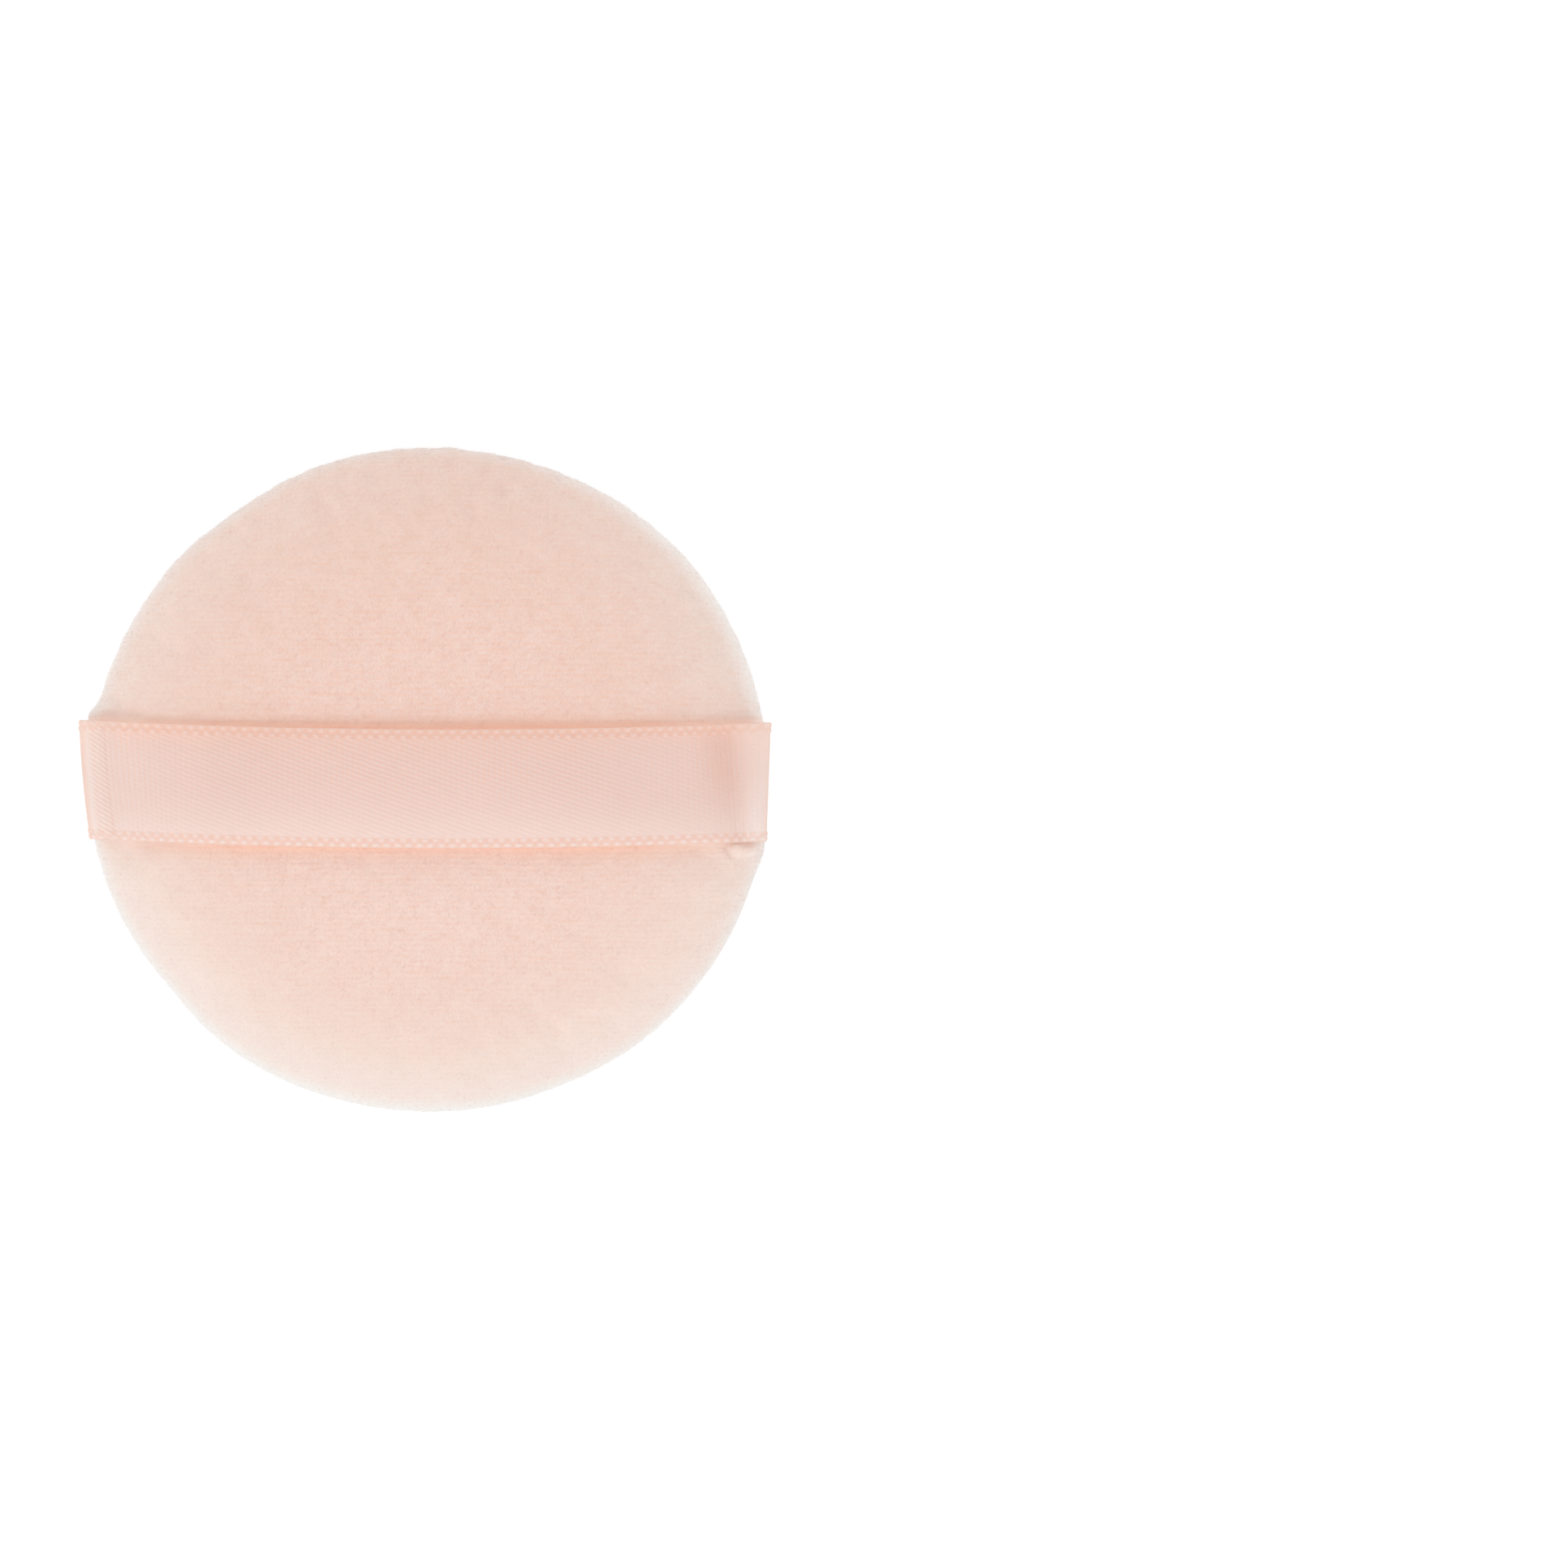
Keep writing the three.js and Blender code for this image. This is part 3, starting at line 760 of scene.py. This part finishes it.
VELOUR = (240, 209, 197)
KNIT_LOW = (235, 194, 178)  # between the strokes of the nap
KNIT_HIGH = (243, 222, 213)  # on top of them
PILE_SHADES = (  # name, colour and share of the fibres that stand at the rim, where the pale ones paint sheen
    ("pile_pale", (242, 236, 232), 0.85),
    ("pile_even", (241, 226, 218), 0.5),
    ("pile_deep", (240, 213, 202), 0.15),
)
SATIN = (253, 246, 236)
SATIN_LOW = (250, 220, 201)  # between the floats of the weave
SATIN_HIGH = (255, 255, 255)
SATIN_THROUGH = (255, 248, 246)

# Tints laid over velour and satin in places, most of them painted light, shade and sheen: how strongly,
# and the colour
ROW_TINT = (0.35, (242, 194, 168))
LIGHT_BELOW_TINT = (0.26, (248, 225, 215))  # painted light on the half below the ribbon
SLOPE_SHADE_TINT = (1, (226, 196, 179))  # painted shade where the crown slopes down
# painted sheen at the rim, most on the pale side
RIM_SHEEN_TINT = (1, (228, 235, 234))
LIT_TINT = (0.6, (254, 250, 245))  # painted light along the edge at the upper right
GLOW_TINT = (1, (255, 208, 182))  # painted warm shade and bounced light beside the ribbon
# painted sheen and highlights on the satin
SATIN_SHEEN_TINT = (1, (255, 255, 252))
BEND_SHADE_TINT = (0.42, (240, 206, 190))  # painted shade where the ribbon bends down to its right end
# painted shade on the ribbon's upper part
UPPER_SHADE_TINT = (0.35, (248, 216, 196))
# painted light where the ribbon turns down over its ends
FOLD_LIGHT_TINT = (1, (255, 236, 220))
# painted shade in the creases of the left fold's ridge
HOLLOW_SHADE_TINT = (0.6, (232, 190, 168))
GAP_SHADE_TINT = (0.75, (240, 206, 187))  # painted shade between the selvedge's loops


def linear(colour):
    """An sRGB colour as the shader's linear one, with its alpha."""
    shares = [c / 255 for c in colour]
    return (*(c / 12.92 if c <= 0.04045 else ((c + 0.055) / 1.055) ** 2.4 for c in shares), 1)


def new_material(name, colour, **values):
    made = bpy.data.materials.new(name)
    made.use_nodes = True
    shader = made.node_tree.nodes["Principled BSDF"]
    shader.inputs["Base Color"].default_value = linear(colour)
    for key, value in values.items():
        shader.inputs[key.replace("_", " ")].default_value = value
    return made, shader, Nodes(made)


class Nodes:
    """Short calls for the nodes of one material."""

    def __init__(self, material):
        self.tree = material.node_tree

    def add(self, kind, inputs=None, **values):
        """A node with its settings, and its inputs by name or number."""
        made = self.tree.nodes.new("ShaderNode" + kind)
        for key, value in values.items():
            setattr(made, key, value)
        for key, value in (inputs or {}).items():
            self.feed(made.inputs[key], value)
        return made

    def feed(self, socket, value):
        if isinstance(value, bpy.types.NodeSocket):
            self.tree.links.new(value, socket)
        else:
            socket.default_value = value

    def math(self, operation, *values, clamp=False):
        return self.add("Math", dict(enumerate(values)), operation=operation, use_clamp=clamp).outputs[0]

    def times(self, a, b):
        return self.math("MULTIPLY", a, b)

    def over(self, a, b):
        return self.math("DIVIDE", a, b)

    def plus(self, a, b):
        return self.math("ADD", a, b)

    def minus(self, a, b, clamp=False):
        return self.math("SUBTRACT", a, b, clamp=clamp)

    def times_plus(self, a, b, c, clamp=False):
        return self.math("MULTIPLY_ADD", a, b, c, clamp=clamp)

    def away(self, value, place):
        return self.math("ABSOLUTE", self.minus(value, place))

    def cloth(self):
        """The two cloth coordinates, in metres, together and one by one."""
        uv = self.add("UVMap", uv_map="cloth").outputs[0]
        parts = self.add("SeparateXYZ", {0: uv}).outputs
        return uv, parts[0], parts[1]

    def wave(self, phase):
        """A cosine from 0 to 1 of a phase in whole turns."""
        return self.times_plus(self.math("COSINE", self.times(phase, 2 * math.pi)), 0.5, 0.5)

    def noise(self, vector, pitch, detail=2.0, roughness=0.5):
        inputs = {"Vector": vector, "Scale": 1 / pitch, "Detail": detail, "Roughness": roughness}
        return self.add("TexNoise", inputs).outputs["Fac"]

    def stretched(self, u, v, along, across):
        """Cloth coordinates drawn out, for a noise with longer or shorter grains."""
        return self.add("CombineXYZ", {0: self.times(u, along), 1: self.times(v, across)}).outputs[0]

    def length(self, vector):
        return self.add("VectorMath", {0: vector}, operation="LENGTH").outputs["Value"]

    def spread(self, value, low, high):
        """Stretches a value so that low becomes 0 and high 1."""
        inputs = dict(enumerate((value, low, high, 0.0, 1.0)))
        return self.add("MapRange", inputs, clamp=True).outputs[0]

    def near(self, value, place, none, full):
        """1 where a value is within full of a place, 0 where it is farther than none."""
        return self.spread(self.away(value, place), none, full)

    def blend(self, share, low, high):
        low, high = (c if isinstance(c, bpy.types.NodeSocket) else linear(c) for c in (low, high))
        return self.add("Mix", {0: share, 6: low, 7: high}, data_type="RGBA").outputs[2]

    def tint(self, colour, place, strength_and_tint):
        """Lays a tint over a colour where the place is near 1."""
        strength, tint = strength_and_tint
        return self.blend(self.times(place, strength), colour, tint)

    def surface(self, shader, colour, height, relief):
        inputs = {"Strength": 1, "Distance": relief, "Height": height}
        self.feed(shader.inputs["Base Color"], colour)
        self.feed(shader.inputs["Normal"], self.add("Bump", inputs).outputs[0])

    def mix_shaders(self, share, low, high):
        return self.add("MixShader", {0: share, 1: low.outputs[0], 2: high.outputs[0]}).outputs[0]

    def to_camera(self, seen, others, output):
        """Ends in a shader that the camera sees, and another that lights everything else."""
        is_camera = self.add("LightPath").outputs["Is Camera Ray"]
        self.add(output, {"Surface": self.mix_shaders(is_camera, others, seen)})


# Velour

KNIT_WOBBLE = 0.8  # of a row's spacing
KNIT_BUMP = 0.035 * MM
NAP_HIDES = 0.8  # share of the knit's contrast that the smoothest nap hides
STROKE_SHARE = 0.5  # what makes up the tone of the knit
PATCH_SHARE = 0.2
COLUMN_SHARE = 0.06
TONE_FLOOR = 0.1
# painted shade where the crown slopes down: its strength, and how much less on the right
SLOPE_SHARE = 0.38
SLOPE_LESS_RIGHT = 0.13
LIT_WIDTH = 4 * MM
SHEEN_RIM = 0.08  # painted sheen: how pale the nap looks at the rim all round
SHEEN_SIDE = 0.45  # and how much paler on the pale side
SHEEN_CORNER = 0.22  # and at the upper right
SHEEN_EDGE = 0.45
SHEEN_EDGE_WIDTH = 3.5 * MM
SHEEN_CROWN = 0.06
GLOW_REACH = 2 * MM  # how far the painted warm shade beside the ribbon reaches over the velour
GLOW_ABOVE = 0.95
GLOW_BELOW = 0.55


def to_pale_side(nodes, u, v):
    """How far a place lies in the direction of PALE_SIDE."""
    return nodes.times_plus(u, PALE_SIDE[0], nodes.times(v, PALE_SIDE[1]))


def upper_right(nodes, u, v):
    return nodes.times(nodes.spread(u, 8 * MM, 24 * MM), nodes.spread(v, -6 * MM, 6 * MM))


def smooth_nap(nodes, u, v, out):
    """How far the nap hides the knit: near the rim, on the pale side."""
    side = nodes.spread(to_pale_side(nodes, u, v), -10 * MM, 18 * MM)
    return nodes.times(nodes.spread(out, 21 * MM, 34 * MM), side)


def painted_rim_sheen(nodes, u, v, out):
    """How strongly painted sheen pales the nap: most at the rim, and more on the pale side."""
    near = nodes.spread(out, RIM_INNER, RIM_OUTER)
    side = nodes.spread(to_pale_side(nodes, u, v), -RIM_OUTER, RIM_OUTER)
    around = nodes.times_plus(side, SHEEN_SIDE, SHEEN_RIM)
    around = nodes.times_plus(upper_right(nodes, u, v), SHEEN_CORNER, around)
    rim = nodes.times(nodes.times(near, near), around)
    edge = nodes.times(nodes.spread(out, RIM_OUTER - SHEEN_EDGE_WIDTH, RIM_OUTER), SHEEN_EDGE)
    return nodes.times_plus(side, SHEEN_CROWN, nodes.plus(rim, edge), clamp=True)


def ribbon_glow(nodes, u, v):
    """How strongly painted warm shade lies on the velour beside the ribbon: most along its upper edge,
    least at its lower ends.
    """
    from_middle = nodes.away(v, float(ribbon_sway(0)))
    near = nodes.near(from_middle, RIBBON_WIDTH / 2, GLOW_REACH, 0)
    below = nodes.times(nodes.spread(nodes.math("ABSOLUTE", u), 34 * MM, 18 * MM), GLOW_BELOW)
    above = nodes.times(nodes.math("GREATER_THAN", v, 0.0), GLOW_ABOVE)
    return nodes.times(nodes.times(near, near), nodes.math("MAXIMUM", below, above))


def knit_colour(nodes, cloth, u, v, rows, columns, strokes):
    """Strokes of the nap over uneven patches, and the knit's broken rows."""
    patches = nodes.spread(nodes.noise(cloth, 3.2 * MM, 3, 0.6), 0.3, 0.7)
    tone = nodes.times_plus(strokes, STROKE_SHARE, nodes.times(patches, PATCH_SHARE))
    tone = nodes.times_plus(columns, COLUMN_SHARE, nodes.plus(tone, TONE_FLOOR), clamp=True)
    broken = nodes.spread(nodes.noise(nodes.stretched(u, v, 0.3, 1), 0.5 * MM, 1), 0.45, 0.6)
    return nodes.tint(nodes.blend(tone, KNIT_LOW, KNIT_HIGH), nodes.times(rows, broken), ROW_TINT)


def placed_colour(nodes, colour, u, v, out):
    """The knit's colour as it changes over the puff, with painted light, shade and sheen."""
    # Painted light on the half below the ribbon
    colour = nodes.tint(colour, nodes.spread(v, 6 * MM, -8 * MM), LIGHT_BELOW_TINT)
    # Painted shade where the crown slopes down, less on the right
    share = nodes.times_plus(nodes.spread(u, 5 * MM, 20 * MM), -SLOPE_LESS_RIGHT, SLOPE_SHARE)
    slope = nodes.times(nodes.spread(out, 15 * MM, 28 * MM), share)
    colour = nodes.tint(colour, slope, SLOPE_SHADE_TINT)
    # Painted sheen, paling the nap at the rim and on the pale side
    colour = nodes.tint(colour, painted_rim_sheen(nodes, u, v, out), RIM_SHEEN_TINT)
    # Painted light along the edge at the upper right
    edge = nodes.spread(out, RIM_OUTER - LIT_WIDTH, RIM_OUTER - MM)
    return nodes.tint(colour, nodes.times(upper_right(nodes, u, v), edge), LIT_TINT)


def velour_material(name, ribbon_on_it):
    """The knit as it shows between the fibres: broken rows of loops under a short nap."""
    made, shader, nodes = new_material(name, VELOUR, Roughness=1, Sheen_Weight=1, Sheen_Roughness=0.5)
    cloth, u, v = nodes.cloth()
    out = nodes.length(cloth)
    wobble = nodes.times(nodes.noise(cloth, 2.5 * MM), KNIT_WOBBLE)
    rows = nodes.wave(nodes.plus(nodes.over(v, COURSE), wobble))
    columns = nodes.wave(nodes.plus(nodes.over(u, WALE), wobble))
    crisp = nodes.minus(1.0, nodes.times(smooth_nap(nodes, u, v, out), NAP_HIDES))
    strokes = nodes.spread(nodes.noise(nodes.stretched(u, v, 1, 0.4), 0.17 * MM, 2, 0.6), 0.3, 0.7)
    strokes = nodes.times_plus(nodes.minus(strokes, 0.5), crisp, 0.5)
    colour = knit_colour(nodes, cloth, u, v, rows, columns, strokes)
    colour = placed_colour(nodes, colour, u, v, out)
    # Painted warm shade beside the ribbon, on the back only
    if ribbon_on_it:
        colour = nodes.tint(colour, ribbon_glow(nodes, u, v), GLOW_TINT)
    knit = nodes.times_plus(columns, 0.25, nodes.times(rows, 0.45))
    height = nodes.times_plus(knit, crisp, nodes.times(strokes, 0.45))
    nodes.surface(shader, colour, height, KNIT_BUMP)
    return made


def pile_material(name, colour):
    return new_material(
        name, colour, Roughness=1, Sheen_Weight=0.6, Sheen_Roughness=0.4, Specular_IOR_Level=0.2,
    )[0]


# Satin

FACE_THROUGH = 0.55  # share of its light that the satin lets through, on its face and its back
BACK_THROUGH = 0.85
TWILL_ALONG = 1.40 * MM  # spacings of the weave
TWILL_ACROSS = 0.478 * MM
RIB_PITCH = 0.547 * MM
RIBBED_ENDS = (22 * MM, 12 * MM)  # from the nearer end, where the twill turns to ribs
RIBBED_SHARE = 0.42
UNEVEN_SHARE = 0.25
BODY_FROM = (0.88 * MM, 1.08 * MM)  # from the edge, where the selvedge's loops end
SATIN_BUMP = 0.09 * MM
HEIGHT_SHARE = 0.7
GRAIN_SHARE = 0.3
FOLD_PALE = (12.2 * MM, 10.4 * MM)  # from the nearer end, where a painted highlight pales the fold
# from the nearer end, where painted light pales the ribbon as it turns down
FOLD_DOWN = (9.3 * MM, 8.3 * MM)
# painted sheen: how strongly it pales the lower half, the left part and a place on the right
LOWER_PALE_SHARE = 0.6
LEFT_PALE_SHARE = 0.3
RIGHT_PALE = 66 * MM
RIGHT_PALE_SHARE = 0.22
# along the ribbon, where the painted shade of the right bend lies
RIGHT_BEND = RIBBON_LENGTH - 12 * MM


def fold_distance(nodes, s):
    """How far along the ribbon its nearer end is."""
    return nodes.minus(RIBBON_LENGTH / 2, nodes.away(s, RIBBON_LENGTH / 2))


def satin_beads(nodes, s, edge):
    """The loops of weft along the ribbon's edges."""
    beads = 0.0
    for row, phase in BEAD_ROWS:
        turns = nodes.plus(nodes.over(s, BEAD_PITCH), phase / (2 * math.pi))
        away = nodes.over(nodes.minus(edge, row), BEAD_WIDTH)
        near = nodes.math("EXPONENT", nodes.times(nodes.times(away, away), -1.0))
        beads = nodes.times_plus(nodes.wave(turns), near, beads)
    return beads


def satin_floats(nodes, cloth, s, w):
    """The weave's floats, slanting over the span and turning to ribs near the ends."""
    twill = nodes.wave(nodes.plus(nodes.over(s, TWILL_ALONG), nodes.over(w, TWILL_ACROSS)))
    ribs = nodes.wave(nodes.over(s, RIB_PITCH))
    uneven = nodes.times(nodes.noise(cloth, 9 * MM, 0), UNEVEN_SHARE)
    ribbed = nodes.times_plus(nodes.spread(fold_distance(nodes, s), *RIBBED_ENDS), RIBBED_SHARE, uneven)
    floats = nodes.times_plus(nodes.minus(ribs, twill), ribbed, twill)
    return nodes.times(floats, nodes.times_plus(ribs, 0.35, 0.75))


def satin_sheen(nodes, colour, s, w):
    """The satin's colour as it changes with the bends of the ribbon: painted sheen, highlights, light and
    shade.
    """
    fold = fold_distance(nodes, s)
    # Painted sheen on the lower half, the left and a place on the right, and a painted highlight at the
    # folds
    lower = nodes.times(nodes.spread(w, 1 * MM, -5 * MM), LOWER_PALE_SHARE)
    left = nodes.times(nodes.spread(s, 26 * MM, 13 * MM), LEFT_PALE_SHARE)
    right = nodes.times(nodes.near(s, RIGHT_PALE, 8 * MM, 2 * MM), RIGHT_PALE_SHARE)
    pale = nodes.math("MAXIMUM", lower, nodes.spread(fold, *FOLD_PALE))
    pale = nodes.math("MAXIMUM", pale, nodes.plus(left, right))
    colour = nodes.tint(colour, pale, SATIN_SHEEN_TINT)
    # Painted shade where the ribbon bends down towards its right end
    bend_shade = nodes.times(nodes.near(s, RIGHT_BEND, 4.6 * MM, 1.9 * MM), nodes.spread(w, -5 * MM, 1 * MM))
    colour = nodes.tint(colour, bend_shade, BEND_SHADE_TINT)
    # Painted shade on the upper part of the ribbon
    colour = nodes.tint(colour, nodes.spread(w, 2.5 * MM, 6 * MM), UPPER_SHADE_TINT)
    # Painted light where the ribbon turns down over its ends
    return nodes.tint(colour, nodes.spread(fold, *FOLD_DOWN), FOLD_LIGHT_TINT)


def ridge_hollows(nodes, s, w):
    """Where painted shade darkens the steep creases along the left fold's ridge."""
    ridge = nodes.near(s, LEFT_RIDGE, 1.2 * MM, 0.7 * MM)
    steep = nodes.plus(nodes.over(s, 0.75 * MM), nodes.over(w, 0.5 * MM))
    return nodes.times(ridge, nodes.wave(steep))


def satin_material(name, share_through):
    """Satin that throws pale light back and lets warm light through."""
    made, shader, nodes = new_material(
        name, SATIN, Roughness=0.36, Anisotropic=0.5, Sheen_Weight=0.3, Sheen_Roughness=0.4,
    )
    cloth, s, w = nodes.cloth()
    edge = nodes.minus(RIBBON_WIDTH / 2, nodes.math("ABSOLUTE", w))
    body = nodes.spread(edge, *BODY_FROM)
    selvedge = nodes.minus(1.0, body)
    beads = satin_beads(nodes, s, edge)
    woven = nodes.times(satin_floats(nodes, cloth, s, w), body)
    height = nodes.plus(woven, nodes.times(beads, selvedge))
    grain = nodes.noise(cloth, 0.25 * MM, 3, 0.6)
    tone = nodes.times_plus(height, HEIGHT_SHARE, nodes.times(grain, GRAIN_SHARE))
    colour = satin_sheen(nodes, nodes.blend(tone, SATIN_LOW, SATIN_HIGH), s, w)
    # Painted shade in the creases of the left fold's ridge
    colour = nodes.tint(colour, ridge_hollows(nodes, s, w), HOLLOW_SHADE_TINT)
    # Painted shade between the selvedge's loops
    gaps = nodes.times(selvedge, nodes.minus(1.0, beads, clamp=True))
    colour = nodes.tint(colour, gaps, GAP_SHADE_TINT)
    nodes.surface(shader, colour, height, SATIN_BUMP)
    through = nodes.add("BsdfTranslucent", {"Color": linear(SATIN_THROUGH)})
    mixed = nodes.mix_shaders(share_through, shader, through)
    nodes.feed(nodes.tree.nodes["Material Output"].inputs["Surface"], mixed)
    return made


# Foam and thread

PORE = 0.28 * MM
PORE_BUMP = 0.08 * MM
TWIST_PITCH = 0.9 * MM
TWIST_UNEVEN = 1.5
TWIST_BUMP = 0.03 * MM


def foam_material():
    """Open-cell latex: pale, with pores of a quarter millimetre."""
    made, shader, nodes = new_material("foam", (247, 236, 220), Roughness=1, Sheen_Weight=0.1)
    place = nodes.add("TexCoord").outputs["Object"]
    cells = nodes.add("TexVoronoi", {"Vector": place, "Scale": 1 / PORE})
    depth = nodes.spread(cells.outputs["Distance"], 0.1, 0.5)
    nodes.surface(shader, nodes.blend(depth, (226, 208, 186), (249, 240, 226)), depth, PORE_BUMP)
    return made


def thread_material():
    """Spun polyester, with the slant of its twist."""
    made, shader, nodes = new_material("thread", (245, 220, 208), Roughness=0.7, Sheen_Weight=0.3)
    place = nodes.add("TexCoord").outputs["Object"]
    twist = {"Vector": place, "Scale": 1 / TWIST_PITCH, "Distortion": TWIST_UNEVEN}
    ply = nodes.add("TexWave", twist).outputs["Fac"]
    nodes.surface(shader, nodes.blend(ply, (238, 208, 194), (248, 226, 215)), ply, TWIST_BUMP)
    return made


# Stage

WHITE = (1, 1, 1, 1)
TABLE_GREY = (0.9, 0.9, 0.9, 1)  # as everything but the camera sees the floor
SHADE_GREY = (0.14, 0.14, 0.14, 1)  # what the puff's shadow takes off the camera's white
FLOOR_GLOW = 0.9
FLOOR_REACH = 3.0
FLOOR_LEVEL = -0.05 * MM
TENT_SIDES = 1.42  # strength of the light tent at its sides and its top
TENT_TOP = 0.58
LIGHT_BOUNCES = 24  # the pale pile passes light on many times


def floor_material():
    """White to the camera but for the puff's shadow, and a pale table to everything else."""
    made = bpy.data.materials.new("floor")
    made.use_nodes = True
    nodes = Nodes(made)
    nodes.tree.nodes.clear()
    table = nodes.add("BsdfDiffuse", {"Color": TABLE_GREY})
    shade = nodes.add("BsdfDiffuse", {"Color": SHADE_GREY})
    glow = nodes.add("Emission", {"Strength": FLOOR_GLOW})
    seen = nodes.add("AddShader", {0: shade.outputs[0], 1: glow.outputs[0]})
    nodes.to_camera(seen, table, "OutputMaterial")
    return made


def make_stage():
    square = ((-1, -1), (1, -1), (1, 1), (-1, 1))
    corners = [(FLOOR_REACH * x, FLOOR_REACH * y, FLOOR_LEVEL) for x, y in square]
    mesh = new_mesh("floor", corners, [np.array([[0, 1, 2, 3]])])
    mesh.materials.append(floor_material())
    floor = new_object("floor", mesh)


def area_light(name, place, size, power):
    data = bpy.data.lights.new(name, "AREA")
    data.shape = "DISK"
    data.size = size
    data.energy = power
    made = new_object(name, data)
    made.location = place
    made.rotation_mode = "QUATERNION"
    made.rotation_quaternion = (-Vector(place)).to_track_quat("-Z", "Y")


def make_light():
    """A light tent that is brighter at its sides, with a soft key and fill."""
    world = bpy.data.worlds.new("world")
    bpy.context.scene.world = world
    world.use_nodes = True
    nodes = Nodes(world)
    nodes.tree.nodes.clear()
    seen = nodes.add("Background", {"Color": WHITE, "Strength": 1})
    way = nodes.add("SeparateXYZ", {0: nodes.add("TexCoord").outputs["Generated"]})
    fall = nodes.times_plus(way.outputs[2], TENT_TOP - TENT_SIDES, TENT_SIDES)
    lit = nodes.add("Background", {"Color": WHITE, "Strength": fall})
    nodes.to_camera(seen, lit, "OutputWorld")
    area_light("key", place=(-0.28, -0.5, 0.8), size=0.5, power=2.1)
    area_light("fill", place=(0.1, 0.6, 0.8), size=0.4, power=0.45)


COVERS = (("back", "back_cover"), ("powder_face", "powder_face_cover"))


def dress_cover(label, node, skin, number, shades):
    """One velour circle and its pile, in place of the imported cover."""
    skin.roughen(40 + number)
    name = label + "_velour"
    cover = velour_cover(name, skin, velour_material(name, ribbon_on_it=label == "back"))
    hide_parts(node)
    for row, (shade, rim_share) in enumerate(shades):
        seed = 100 + 10 * number + row
        pile = velour_pile(f"{label}_pile_{row + 1}", skin, shade, rim_share, seed)


def dress_ribbon():
    face = satin_material("satin_face", FACE_THROUGH)
    back = satin_material("satin_back", BACK_THROUGH)
    strap, length = ribbon(face, back)
    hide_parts("ribbon_strap")


def dress():
    shades = [(pile_material(name, colour), rim_share) for name, colour, rim_share in PILE_SHADES]
    skins = (Skin(BACK_HEIGHT - SWELL_CAP, 1), Skin(FACE_HEIGHT - SWELL_CAP, -1))
    swell(*skins)
    raise_tucks(skins[0])
    for number, ((label, node), skin) in enumerate(zip(COVERS, skins)):
        dress_cover(label, node, skin, number, shades)
    dress_ribbon()
    foam, thread = foam_material(), thread_material()
    for name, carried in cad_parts.items():
        if name not in ("back_cover", "powder_face_cover", "ribbon_strap"):
            carried.data.materials.clear()
            carried.data.materials.append(foam if name == "sponge_core" else thread)


make_camera()
make_stage()
make_light()
bpy.context.scene.view_settings.view_transform = "Standard"
bpy.context.scene.cycles.max_bounces = LIGHT_BOUNCES
bpy.context.scene.cycles.diffuse_bounces = LIGHT_BOUNCES
dress()
